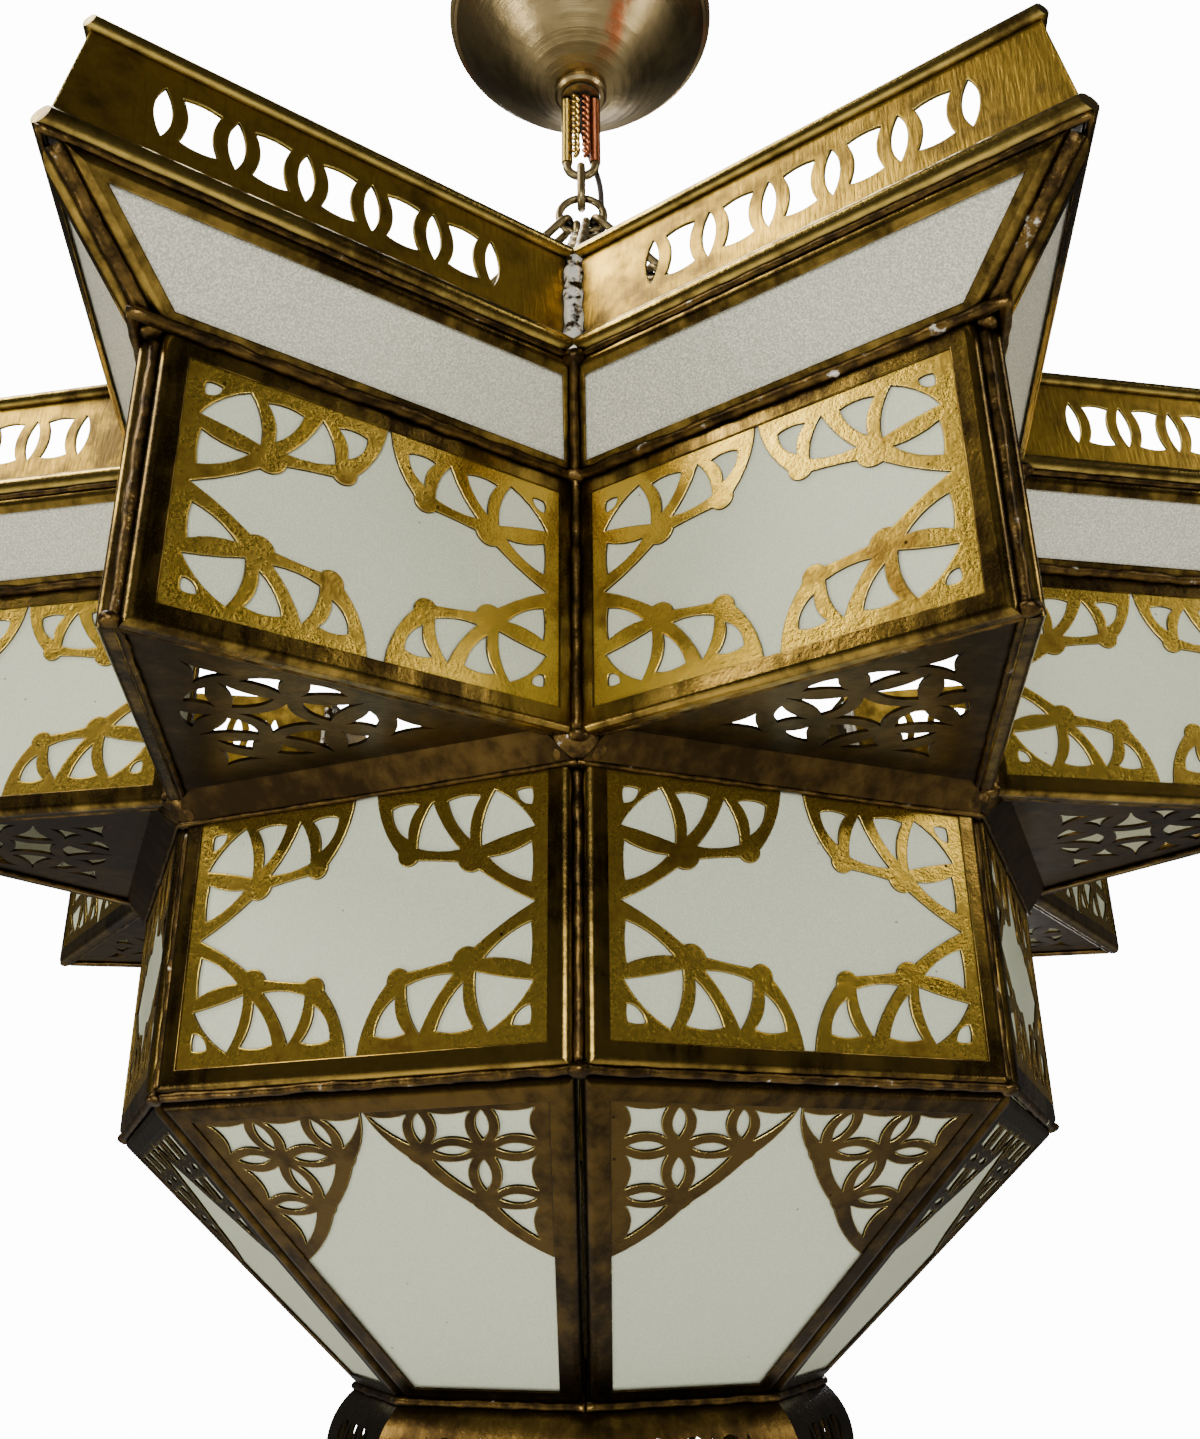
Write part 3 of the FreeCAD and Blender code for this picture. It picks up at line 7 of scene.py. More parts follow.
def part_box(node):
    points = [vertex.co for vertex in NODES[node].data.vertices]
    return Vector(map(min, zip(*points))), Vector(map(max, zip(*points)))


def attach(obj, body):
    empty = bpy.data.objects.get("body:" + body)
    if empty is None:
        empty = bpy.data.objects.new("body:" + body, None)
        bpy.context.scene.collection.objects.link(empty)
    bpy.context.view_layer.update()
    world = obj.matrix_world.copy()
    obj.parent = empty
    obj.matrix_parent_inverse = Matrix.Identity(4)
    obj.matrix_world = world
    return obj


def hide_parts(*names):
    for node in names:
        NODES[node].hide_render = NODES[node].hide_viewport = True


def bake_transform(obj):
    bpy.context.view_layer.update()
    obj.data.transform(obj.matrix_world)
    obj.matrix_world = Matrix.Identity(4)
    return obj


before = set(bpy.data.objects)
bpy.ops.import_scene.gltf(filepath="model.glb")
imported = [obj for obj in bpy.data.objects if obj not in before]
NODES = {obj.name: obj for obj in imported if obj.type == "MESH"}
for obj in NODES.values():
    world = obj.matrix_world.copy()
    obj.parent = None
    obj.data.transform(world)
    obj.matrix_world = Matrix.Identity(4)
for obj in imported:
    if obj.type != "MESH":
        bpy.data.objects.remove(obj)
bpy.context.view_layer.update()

# Sizes of the lantern are in millimetres and degrees, and are turned into metres and radians where they are
# used. Sizes inside a finish, and the places of the lamps and the camera, are in metres.
MM = 0.001
POINTS = 8
SECTOR = 360.0 / POINTS

# the star's outline at the middle of its glass, and the levels of its storeys, as in the part's source
STAR_TIP_R = 287.0
STAR_CORNER_R = 188.0
TIP_HALF = math.atan2(STAR_CORNER_R * math.sin(math.radians(SECTOR / 2)),
                      STAR_TIP_R - STAR_CORNER_R * math.cos(math.radians(SECTOR / 2)))
CORNER_HALF = TIP_HALF + math.radians(SECTOR / 2)
FLARE_OUT = 22.5               # how far the flare's head stands out from the star band
GALLERY_TOP_OUT = 17.5
GALLERY_TOP = -360.8
GALLERY_FOOT = -407.8
BAND_TOP = -434.8
BAND_FOOT = -520.8
BODY_FOOT = -612.8
BASE_FOOT = -700.8

# where the solder lies: out from the star's outline, or from the axis to the flats of the octagon
SOLDER_FLARE_OUT = 22.9
SOLDER_BAND_OUT = 3.3
SOLDER_BAND_FOOT_OUT = -3.1
SOLDER_BODY_HEAD_SIDE = 172.2
SOLDER_BODY_FOOT_SIDE = 169.7
SOLDER_BASE_FOOT_SIDE = 80.1
SOLDER_BODY_CORNER_R = 182.4
SOLDER_SEED = 3                # without it the runs wander differently each time


# ---------------------------------------------------------------- shader maths
class Sig:
    """A node's output; sums and products on it add Math nodes."""

    def __init__(self, tree, socket):
        self.tree = tree
        self.socket = socket

    def _maths(self, operation, *values):
        node = self.tree.nodes.new("ShaderNodeMath")
        node.operation = operation
        for slot, value in zip(node.inputs, values):
            if isinstance(value, Sig):
                self.tree.links.new(value.socket, slot)
            else:
                slot.default_value = value
        return Sig(self.tree, node.outputs[0])

    def __add__(self, other):
        return self._maths("ADD", self, other)

    def __radd__(self, other):
        return self._maths("ADD", other, self)

    def __sub__(self, other):
        return self._maths("SUBTRACT", self, other)

    def __rsub__(self, other):
        return self._maths("SUBTRACT", other, self)

    def __mul__(self, other):
        return self._maths("MULTIPLY", self, other)

    def __rmul__(self, other):
        return self._maths("MULTIPLY", other, self)

    def __pow__(self, other):
        return self._maths("POWER", self, other)

    def above(self, edge, width):
        """0 below edge, 1 above edge + width, a ramp between."""
        node = self.tree.nodes.new("ShaderNodeMapRange")
        node.interpolation_type = "SMOOTHSTEP"
        self.tree.links.new(self.socket, node.inputs["Value"])
        node.inputs["From Min"].default_value = edge
        node.inputs["From Max"].default_value = edge + width
        return Sig(self.tree, node.outputs[0])

    def part(self, name):
        """One component, X, Y or Z, of a vector."""
        node = self.tree.nodes.new("ShaderNodeSeparateXYZ")
        self.tree.links.new(self.socket, node.inputs[0])
        return Sig(self.tree, node.outputs[name])


class Finish:
    """A material under construction, with its Principled shader."""

    def __init__(self, name, **uniform):
        self.material = bpy.data.materials.new(name)
        self.material.use_nodes = True
        self.tree = self.material.node_tree
        self.shader = self.tree.nodes["Principled BSDF"]
        for slot, value in uniform.items():
            self.shader.inputs[slot.replace("_", " ")].default_value = value
        self.place = Sig(self.tree, self.tree.nodes.new("ShaderNodeTexCoord").outputs["Object"])

    def node(self, kind, settings, sockets, out=0):
        """Any node: its settings first, then the values or links of its sockets."""
        node = self.tree.nodes.new(kind)
        for key, value in settings.items():
            setattr(node, key, value)
        for key, value in sockets.items():
            if isinstance(value, Sig):
                self.tree.links.new(value.socket, node.inputs[key])
            else:
                node.inputs[key].default_value = value
        return Sig(self.tree, node.outputs[out])

    def stretched(self, x, y, z):
        """The place on the surface with its axes scaled, so that noise on it is drawn out."""
        return self.node("ShaderNodeMapping", {"vector_type": "POINT"},
                         {"Vector": self.place, "Scale": (x, y, z)})

    def cloud(self, size, detail=3.0, rough=0.55, where=None):
        """Noise whose lumps are about size metres across."""
        return self.node("ShaderNodeTexNoise", {}, {
            "Vector": where or self.place, "Scale": 1.0 / size, "Detail": detail, "Roughness": rough}, "Fac")

    def specks(self, size):
        """0 at points strewn about size metres apart, growing away from them."""
        return self.node("ShaderNodeTexVoronoi", {"feature": "F1"},
                         {"Vector": self.place, "Scale": 1.0 / size}, "Distance")

    def crevice(self, reach):
        """1 in corners narrower than reach, 0 in the open."""
        return 1.0 - self.node("ShaderNodeAmbientOcclusion", {"samples": 6}, {"Distance": reach}, "AO")

    def edge(self, radius):
        """1 on sharp edges and 0 on flat ground, and the normal of edges rounded to radius."""
        soft = self.node("ShaderNodeBevel", {"samples": 4}, {"Radius": radius})
        hard = self.node("ShaderNodeNewGeometry", {}, {}, "Normal")
        dot = self.node("ShaderNodeVectorMath", {"operation": "DOT_PRODUCT"}, {0: soft, 1: hard}, "Value")
        return (1.0 - dot).above(0.02, 0.2), soft

    def blend(self, amount, first, second):
        """Colour mix: first where amount is 0, second where it is 1."""
        return self.node("ShaderNodeMix", {"data_type": "RGBA"}, {0: amount, 6: first, 7: second}, 2)

    def set(self, slot, value):
        """Feeds one of the shader's sockets."""
        self.tree.links.new(value.socket, self.shader.inputs[slot])

    def bumps(self, height, depth, over=None):
        """Relief depth metres deep, over the rounded normal where one is given."""
        sockets = {"Height": height, "Distance": depth, "Strength": 1.0}
        if over:
            sockets["Normal"] = over
        self.set("Normal", self.node("ShaderNodeBump", {}, sockets, "Normal"))

    def pale_to_camera(self, share, colour):
        """Lifts what the camera sees towards a plain colour and sends no more light to the part."""
        seen = self.node("ShaderNodeLightPath", {}, {}, "Is Camera Ray")
        glow = self.node("ShaderNodeEmission", {}, {"Color": colour, "Strength": 1.0})
        plain = Sig(self.tree, self.shader.outputs[0])
        mixed = self.node("ShaderNodeMixShader", {}, {0: seen * share, 1: plain, 2: glow})
        self.tree.links.new(mixed.socket, self.tree.nodes["Material Output"].inputs["Surface"])

    def dress(self, *names):
        """Puts the finish on nodes, given by name, and on pieces made here."""
        for name in names:
            item = NODES[name] if isinstance(name, str) else name
            item.data.materials.clear()
            item.data.materials.append(self.material)


def rgb(r, g, b):
    """sRGB 0 to 255 as linear colour."""
    line = [c / 255.0 for c in (r, g, b)]
    line = [c / 12.92 if c <= 0.04045 else ((c + 0.055) / 1.055) ** 2.4 for c in line]
    return (*line, 1.0)


# ---------------------------------------------------------------- finishes
def aged_brass(name, gold, brown, cover, rough, reach):
    """Brass with brown patina in clouds, near-black corners that are partly patina and partly painted shade,
    and fine scratches.
    """
    f = Finish(name, Metallic=1.0)
    broad = f.cloud(0.080, 4.0)
    small = f.cloud(0.010, 5.0, 0.6)
    fine = f.cloud(0.0012, 3.0, 0.6)
    along = f.cloud(0.005, 4.0, 0.6, f.stretched(1.0, 1.0, 0.12))
    patina = (broad * 0.5 + small * 0.22 + along * 0.28).above(cover, 0.22)
    # painted shade: corners found by ambient occlusion go near-black, mixed with some patina
    corner = (f.crevice(reach) * 1.5 + (small - 0.5) * 0.35).above(0.18, 0.50)
    colour = f.blend(patina, gold, brown)
    colour = f.blend(corner, colour, rgb(24, 17, 9))
    f.set("Base Color", colour)
    f.set("Roughness", rough + patina * 0.08 + corner * 0.22 + (fine - 0.5) * 0.12)
    f.bumps(broad * 0.5 + small * 0.35 + fine * 0.15, 0.0004)
    return f


def cut_brass(name, gold, brown, cover, shade):
    """Hand-cut fretwork: painted highlights on the sharp edges, burnt ticks, and browner towards the cames,
    partly patina and partly painted shade.
    """
    f = Finish(name, Metallic=1.0)
    edge, soft = f.edge(0.0007)
    broad = f.cloud(0.045, 4.0)
    small = f.cloud(0.007, 4.0, 0.6)
    fine = f.cloud(0.0010, 3.0, 0.6)
    patina = (broad * 0.6 + small * 0.4).above(cover, 0.22)
    # painted shade: darker near the cames and in the corners, found by ambient occlusion, mixed with patina
    shade_border = (f.crevice(0.012) * 1.7 + (small - 0.5) * 0.4).above(0.16, 0.55)
    ticks = (0.075 - f.specks(0.009)).above(0.0, 0.04)
    colour = f.blend(patina, gold, brown)
    # painted highlight: bright gold on the sharp edges
    colour = f.blend(edge * 0.8, colour, rgb(255, 228, 130))
    colour = f.blend(shade_border, colour, shade)
    colour = f.blend(ticks * 0.9, colour, rgb(22, 15, 8))
    f.set("Base Color", colour)
    f.set("Roughness", 0.25 + patina * 0.10 + shade_border * 0.16 + (fine - 0.5) * 0.12)
    f.bumps(broad * 0.4 + small * 0.4 + fine * 0.2, 0.0004, soft)
    return f


def brushed_brass(name, gold, brown, cover):
    """Gallery walls: brushed up and down, cloudy patina, painted highlights on the sharp edges, and black at
    the mouldings, partly patina and partly painted shade.
    """
    f = Finish(name, Metallic=1.0)
    edge, soft = f.edge(0.0007)
    brush = f.cloud(0.0012, 3.0, 0.6, f.stretched(1.0, 1.0, 0.06))
    broad = f.cloud(0.06, 4.0)
    small = f.cloud(0.010, 5.0, 0.6)
    patina = (broad * 0.6 + small * 0.4).above(cover, 0.22)
    # painted shade: black at the mouldings and corners, found by ambient occlusion, mixed with patina
    corner = (f.crevice(0.012) * 1.6 + (small - 0.5) * 0.4).above(0.2, 0.5)
    colour = f.blend(patina, gold, brown)
    colour = f.blend(brush.above(0.5, 0.2) * 0.30, colour, brown)
    # painted highlight: bright gold on the sharp edges
    colour = f.blend(edge * 0.8, colour, rgb(255, 230, 135))
    colour = f.blend(corner, colour, rgb(34, 24, 12))
    f.set("Base Color", colour)
    f.set("Roughness", 0.26 + patina * 0.08 + brush * 0.08 + corner * 0.15)
    f.bumps(brush * 0.3 + small * 0.3 + broad * 0.4, 0.0004, soft)
    return f


def frosted_glass(name, tint, pale, contrast, depth):
    """Sandblasted glass: fine bright grain, soft clouds, painted shade next to the frames and a few specks of
    dirt.
    """
    f = Finish(name, IOR=1.45, Transmission_Weight=0.18)
    grain = f.cloud(0.0006, 2.0, 0.8)
    middle = f.cloud(0.004, 3.0)
    broad = f.cloud(0.07, 3.0)
    dust = f.specks(0.013)
    colour = f.blend(grain.above(0.38, 0.30) * contrast, tint, pale)
    clouds = broad.above(0.45, 0.35) * 0.30 + middle.above(0.5, 0.3) * 0.10
    # painted shade: darker where the glass meets the frames, found by ambient occlusion
    frame_shade = f.crevice(0.010).above(0.25, 0.6) * 0.55
    colour = f.blend(clouds, colour, rgb(198, 198, 176))
    colour = f.blend(frame_shade, colour, rgb(112, 104, 82))
    colour = f.blend((0.045 - dust).above(0.0, 0.02) * 0.7, colour, rgb(84, 68, 44))
    f.set("Base Color", colour)
    f.set("Roughness", 0.46 + (grain - 0.5) * 0.25)
    f.bumps(grain, depth)
    return f


def lead_solder(name):
    """Solder runs: browned over, silver where it was rubbed, brightest round the gallery, and near-black in
    the corners, partly patina and partly painted shade.
    """
    f = Finish(name, Metallic=1.0)
    small = f.cloud(0.006, 5.0, 0.6)
    fine = f.cloud(0.0012, 3.0, 0.6)
    gallery = f.place.part("Z").above((GALLERY_FOOT - 0.7) * MM, 0.003)
    bare = (small + gallery * 0.24).above(0.64, 0.10)
    # painted shade: corners found by ambient occlusion go near-black, less so round the gallery
    corner = (f.crevice(0.004) * 1.2 - gallery * 0.9).above(0.35, 0.5)
    colour = f.blend(small.above(0.35, 0.3), rgb(46, 35, 20), rgb(98, 76, 38))
    colour = f.blend(bare, colour, rgb(218, 214, 200))
    colour = f.blend(corner, colour, rgb(22, 17, 10))
    f.set("Base Color", colour)
    f.set("Metallic", 1.0 - bare * 0.6)
    f.set("Roughness", 0.36 - bare * 0.1 + (fine - 0.5) * 0.2)
    f.bumps(small * 0.7 + fine * 0.3, 0.0006)
    return f


def spun_brass(name):
    """Satin brass turned on a lathe: faint rings round the axis, dull clouds and a copper stain."""
    f = Finish(name, Metallic=1.0)
    x = f.place.part("X")
    y = f.place.part("Y")
    radius = (x * x + y * y) ** 0.5
    grooves = 500.0                # how closely the rings lie
    ring_place = f.node("ShaderNodeCombineXYZ", {}, {
        "X": radius * grooves, "Y": f.place.part("Z") * grooves, "Z": 0.0})
    rings = f.node("ShaderNodeTexNoise", {}, {"Vector": ring_place, "Scale": 1.0, "Detail": 2.0}, "Fac")
    broad = f.cloud(0.045, 4.0)
    blotch = f.cloud(0.014, 4.0, 0.6)
    off = x - 0.006 + y * 0.42     # distance from the slanting line of the stain
    streak = 1.0 - (off * off).above(0.0, 0.00007)
    front = (0.0 - y).above(0.010, 0.020)
    stain = streak * front * blotch.above(0.34, 0.34)
    rim_stain = radius.above(0.058, 0.012) * blotch.above(0.52, 0.14)
    colour = f.blend(broad.above(0.40, 0.25), rgb(160, 140, 98), rgb(104, 90, 62))
    colour = f.blend(stain * 0.85 + rim_stain * 0.25, colour, rgb(176, 84, 44))
    colour = f.blend(rings.above(0.5, 0.3) * 0.22, colour, rgb(70, 52, 30))
    f.set("Base Color", colour)
    f.set("Roughness", 0.24 + rings * 0.05 + broad * 0.16)
    f.bumps(rings * 0.15 + blotch * 0.25 + broad * 0.6, 0.0012)
    return f


def plain_metal(name, tone, dark, rough):
    """Bare or plated metal with faint clouds and no age."""
    f = Finish(name, Metallic=1.0)
    fine = f.cloud(0.002, 4.0)
    broad = f.cloud(0.02, 3.0)
    f.set("Base Color", f.blend(broad.above(0.4, 0.3), tone, dark))
    f.set("Roughness", rough + (fine - 0.5) * 0.2)
    f.bumps(fine, 0.0001)
    return f


def moulded(name, tone, dark, rough):
    """Moulded plastic, ceramic or opal glass with a fine grain."""
    f = Finish(name)
    fine = f.cloud(0.0008, 3.0)
    broad = f.cloud(0.03, 3.0)
    f.set("Base Color", f.blend(broad.above(0.4, 0.3) * 0.6, tone, dark))
    f.set("Roughness", rough + (fine - 0.5) * 0.15)
    f.bumps(fine, 0.00005)
    return f


# ---------------------------------------------------------------- meshes
def as_object(name, mesh, smooth=True):
    """The built mesh as a piece in the scene."""
    data = bpy.data.meshes.new(name)
    mesh.normal_update()
    mesh.to_mesh(data)
    mesh.free()
    for face in data.polygons:
        face.use_smooth = smooth
    item = bpy.data.objects.new(name, data)
    bpy.context.scene.collection.objects.link(item)
    return item


def add_tube(mesh, path, radii, normal, sides, sway=None):
    """Closed round tube along the path; sway shifts each ring off the path."""
    rings = []
    last = len(path) - 1
    for i, spot in enumerate(path):
        ahead = (path[min(i + 1, last)] - path[max(i - 1, 0)]).normalized()
        normal = (normal - ahead * normal.dot(ahead)).normalized()
        other = ahead.cross(normal)
        centre = spot + sway[i] if sway else spot
        ring = []
        for k in range(sides):
            a = 2 * math.pi * k / sides
            ring.append(mesh.verts.new(centre + (normal * math.cos(a) + other * math.sin(a)) * radii[i]))
        rings.append(ring)
    for low, high in zip(rings, rings[1:]):
        for k in range(sides):
            mesh.faces.new((low[k], low[(k + 1) % sides], high[(k + 1) % sides], high[k]))
    mesh.faces.new(rings[0][::-1])
    mesh.faces.new(rings[-1])


# ---------------------------------------------------------------- supply flex
def flex_route(name, points):
    """The cord's smooth centre line, in metres."""
    curve = bpy.data.curves.new(name + "_route", "CURVE")
    curve.dimensions = "3D"
    curve.resolution_u = 16
    spline = curve.splines.new("NURBS")
    spline.points.add(len(points) - 1)
    for slot, (x, y, z) in zip(spline.points, points):
        slot.co = (x * MM, y * MM, z * MM, 1.0)
    spline.order_u = 3
    spline.use_endpoint_u = True
    route = bpy.data.objects.new(name + "_route", curve)
    bpy.context.scene.collection.objects.link(route)
    bpy.context.view_layer.update()
    line = bpy.data.meshes.new_from_object(route)
    path = [v.co.copy() for v in line.vertices]
    bpy.data.objects.remove(route)
    return path


def supply_flex(cover):
    """The flex from the loop's boss past the hook to the stem, on the same points as the part's source."""
    boss_foot = -59.0
    join = (10.8, 10.8, -124.0)    # where the flex passes the hook
    radius = 1.6 * MM
    sides = 12
    jx, jy, jz = join
    stem_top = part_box("stem_tube")[1].z / MM
    upper = [(0, 0, boss_foot), (0.2, 0.8, boss_foot - 12.0), (1.8, 4.2, boss_foot - 26.0),
             (6.6, 8.8, boss_foot - 39.0), (jx, jy, jz + 12.0), join]
    lower = [join, (jx, jy, jz - 14.0), (jx + 1.6, jy + 1.2, jz - 38.0), (jx + 0.2, jy + 3.4, jz - 82.0),
             (jx - 2.4, jy + 1.6, jz - 127.0), (jx - 7.0, jy - 3.2, jz - 174.0),
             (jx - 9.6, jy - 9.0, jz - 219.0), (0, 0, stem_top + 20.0), (0, 0, stem_top)]
    for name, node, points, bodies in (
            ("supply_flex_upper", "flex_upper", upper, ("ceiling_fixing", "hook")),
            ("supply_flex_lower", "flex_lower", lower, ("hook", "lantern"))):
        path = flex_route(name, points)
        mesh = bmesh.new()
        add_tube(mesh, path, [radius] * len(path), Vector((1, 0, 0)), sides)
        tube = as_object(name, mesh)
        cover.dress(tube)
        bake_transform(tube)
        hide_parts(node)


# ---------------------------------------------------------------- binding wire
def add_wire(mesh, middle, out, wire, top, foot, pitch, start=0.0):
    """A wire of radius wire that winds round an upright line, its middle out from that line."""
    turn_steps = 14
    sides = 6
    count = max(2, round((top - foot) / pitch * turn_steps))
    path = []
    for i in range(count + 1):
        a = start + 2 * math.pi * i / turn_steps
        z = top - (top - foot) * i / count
        path.append(Vector((middle[0] + out * math.cos(a), middle[1] + out * math.sin(a), z)) * MM)
    add_tube(mesh, path, [wire * MM] * len(path), Vector((0, 0, 1)), sides)


def loop_binding(brass, copper):
    """Fine wire wound close round the loop's legs, and a twisted pair laid between them in front.

    All of it stays inside the bore of the collar ring, which slides down over it."""
    top = -60.2
    leg_foot = -106.0
    leg_x = 7.7
    leg_out = 2.7
    leg_wire = 0.38
    leg_pitch = 0.8
    pair_foot = -104.0
    pair_x = 2.75
    pair_y = -4.2
    pair_wire = 1.25
    pair_pitch = 9.0
    for name, side, finish in (("loop_binding_left", -1, brass), ("loop_binding_right", 1, copper)):
        mesh = bmesh.new()
        add_wire(mesh, (side * leg_x, 0.0), leg_out, leg_wire, top, leg_foot, leg_pitch)
        for start in (0.0, math.pi):
            add_wire(mesh, (side * pair_x, pair_y), pair_wire, pair_wire, top, pair_foot, pair_pitch, start)
        coil = as_object(name, mesh)
        finish.dress(coil)
        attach(coil, "ceiling_fixing")


# ---------------------------------------------------------------- solder
def at(radius, degrees, z):
    """Point in metres from radius and height in millimetres; 0 degrees is the side towards the viewer."""
    turn = math.radians(degrees - 90.0)
    return Vector((radius * math.cos(turn), radius * math.sin(turn), z)) * MM


def corner_at(out, z, k):
    """Inner corner k of the star's outline moved out."""
    return at(STAR_CORNER_R + out / math.sin(CORNER_HALF), SECTOR * k, z)


def tip_at(out, z, k):
    """Tip k of the star's outline moved out."""
    return at(STAR_TIP_R + out / math.sin(TIP_HALF), SECTOR * (k + 0.5), z)


def star_line(out, z):
    """Closed run round the star."""
    line = []
    for k in range(POINTS):
        line += [corner_at(out, z, k), tip_at(out, z, k)]
    return line + line[:1]


def octagon_line(side, z):
    """Closed run round the body or the base, side millimetres from the axis to its flats."""
    radius = side / math.cos(math.radians(SECTOR / 2))
    return [at(radius, SECTOR * k, z) for k in range(POINTS + 1)]


def add_run(mesh, line, radius, sway=0.25):
    """A hand-laid solder run: a tube whose thickness and line wander."""
    step = 2.4 * MM
    sides = 8
    path = []
    for a, b in zip(line, line[1:]):
        count = max(2, round((b - a).length / step))
        path += [a.lerp(b, i / count) for i in range(count)]
    path.append(line[-1])
    wander = [noise.noise_vector(spot * 130.0) * radius * MM * sway for spot in path]
    widths = [radius * MM * (1.0 + 0.22 * noise.noise(spot * 210.0) + 0.12 * noise.noise(spot * 640.0))
              for spot in path]
    add_tube(mesh, path, widths, Vector((0.31, 0.52, 0.79)).normalized(), sides, wander)


def add_blob(mesh, spot, radius):
    """A drop of solder over a joint, a little flattened."""
    flat = 0.7
    for vert in bmesh.ops.create_icosphere(mesh, subdivisions=3, radius=radius * MM)["verts"]:
        lump = 1.0 + 0.22 * noise.noise((vert.co + spot) * 260.0)
        vert.co = Vector((vert.co.x * lump, vert.co.y * lump, vert.co.z * lump * flat)) + spot


def add_patch(mesh, spot, degrees, size):
    """Solder wiped over the corner where two floor plates fold down: wide, thin and leaning outwards."""
    lean = 0.8
    side = at(1000.0, degrees + 90.0, 0.0)
    out = at(1000.0, degrees, 0.0)
    for vert in bmesh.ops.create_icosphere(mesh, subdivisions=3, radius=MM)["verts"]:
        lump = 1.0 + 0.18 * noise.noise(vert.co * 900.0 + spot * 50.0)
        x, y, z = (c * width * lump for c, width in zip(vert.co, size))
        vert.co = spot + side * x + out * (y + z * lean) + Vector((0, 0, z))


def solder_round(mesh):
    """Runs all the way round, where one storey is soldered to the next; a run's last value is its radius."""
    add_run(mesh, star_line(SOLDER_FLARE_OUT, GALLERY_FOOT - 0.6), 1.1)
    add_run(mesh, star_line(SOLDER_BAND_OUT, BAND_TOP - 0.2), 1.9)
    add_run(mesh, star_line(SOLDER_BAND_FOOT_OUT, BAND_FOOT + 0.9), 1.0)
    add_run(mesh, octagon_line(SOLDER_BODY_FOOT_SIDE, BODY_FOOT - 0.6), 1.5)
    add_run(mesh, octagon_line(SOLDER_BODY_HEAD_SIDE, BAND_FOOT - 6.6), 0.9)
    add_run(mesh, octagon_line(SOLDER_BASE_FOOT_SIDE, BASE_FOOT - 1.0), 1.5)


def solder_point(mesh, k):
    """Runs, drops and the wiped patch at inner corner k and at the tip beside it."""
    band_head = corner_at(5.2, BAND_TOP, k)
    add_run(mesh, [band_head, corner_at(SOLDER_BAND_OUT, BAND_TOP - 3.0, k),
                   corner_at(SOLDER_BAND_OUT, BAND_FOOT + 1.0, k)], 1.6)
    add_run(mesh, [corner_at(FLARE_OUT + 3.6, GALLERY_FOOT - 1.0, k), band_head], 1.5)
    add_run(mesh, [corner_at(GALLERY_TOP_OUT + 0.2, GALLERY_TOP - 5.0, k),
                   corner_at(FLARE_OUT + 0.4, GALLERY_FOOT, k)], 3.6, 0.15)
    add_run(mesh, [tip_at(-2.4, BAND_TOP - 1.5, k), tip_at(-2.4, BAND_FOOT + 1.5, k)], 2.1, 0.15)
    add_run(mesh, [tip_at(FLARE_OUT - 2.6, GALLERY_FOOT - 0.5, k), tip_at(-2.6, BAND_TOP + 0.5, k)], 2.8, 0.1)
    add_run(mesh, [at(SOLDER_BODY_CORNER_R, SECTOR * k, BAND_FOOT - 7.0),
                   at(SOLDER_BODY_CORNER_R, SECTOR * k, BODY_FOOT + 1.0)], 1.7)
    add_blob(mesh, corner_at(4.2, BAND_TOP - 0.5, k), 3.4)
    add_blob(mesh, corner_at(FLARE_OUT + 1.8, GALLERY_FOOT - 1.5, k), 3.6)
    add_blob(mesh, corner_at(1.0, BAND_FOOT + 0.8, k), 3.6)
    add_patch(mesh, at(186.6, SECTOR * k, BAND_FOOT - 2.6), SECTOR * k, (8.5, 2.6, 5.2))
    add_blob(mesh, tip_at(-1.2, BAND_TOP - 0.5, k), 3.2)
    add_blob(mesh, tip_at(-1.6, BAND_FOOT + 1.6, k), 3.0)
    add_blob(mesh, at(SOLDER_BODY_CORNER_R + 0.2, SECTOR * k, BODY_FOOT - 0.6), 3.4)


def solder_work(finish):
    """All the solder as one piece, in place of the plain seams."""
    noise.seed_set(SOLDER_SEED)
    mesh = bmesh.new()
    solder_round(mesh)
    for k in range(POINTS):
        solder_point(mesh, k)
    run = as_object("solder_runs", mesh)
    finish.dress(run)
    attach(run, "lantern")
    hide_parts("solder_seams")


# ---------------------------------------------------------------- room, lights and camera
def pale_floor():
    """Plain floor far enough below to leave the lantern's light alone."""
    floor_radius = 6.0
    floor_level = -1.9
    mesh = bmesh.new()
    bmesh.ops.create_circle(mesh, cap_ends=True, radius=floor_radius, segments=64)
    floor = as_object("floor", mesh, False)
    floor.location = (0, 0, floor_level)
    f = Finish("floor_paint")
    tone = f.cloud(0.4, 3.0)
    f.set("Base Color", f.blend(tone, rgb(236, 235, 232), rgb(228, 227, 224)))
    f.set("Roughness", 0.75 + tone * 0.1)
    f.pale_to_camera(0.55, (0.80, 0.80, 0.79, 1.0))
    f.dress(floor)


def light_panel(name, place, size, power, tint=(1, 1, 1)):
    """Soft lamp of width and height size, turned to the lantern's middle."""
    lantern_mid = Vector((0, 0, -0.5))
    lamp = bpy.data.lights.new(name, "AREA")
    lamp.shape = "RECTANGLE"
    lamp.size, lamp.size_y = size
    lamp.energy = power
    lamp.color = tint
    item = bpy.data.objects.new(name, lamp)
    item.location = place
    item.rotation_euler = (lantern_mid - Vector(place)).to_track_quat("-Z", "Y").to_euler()
    bpy.context.scene.collection.objects.link(item)


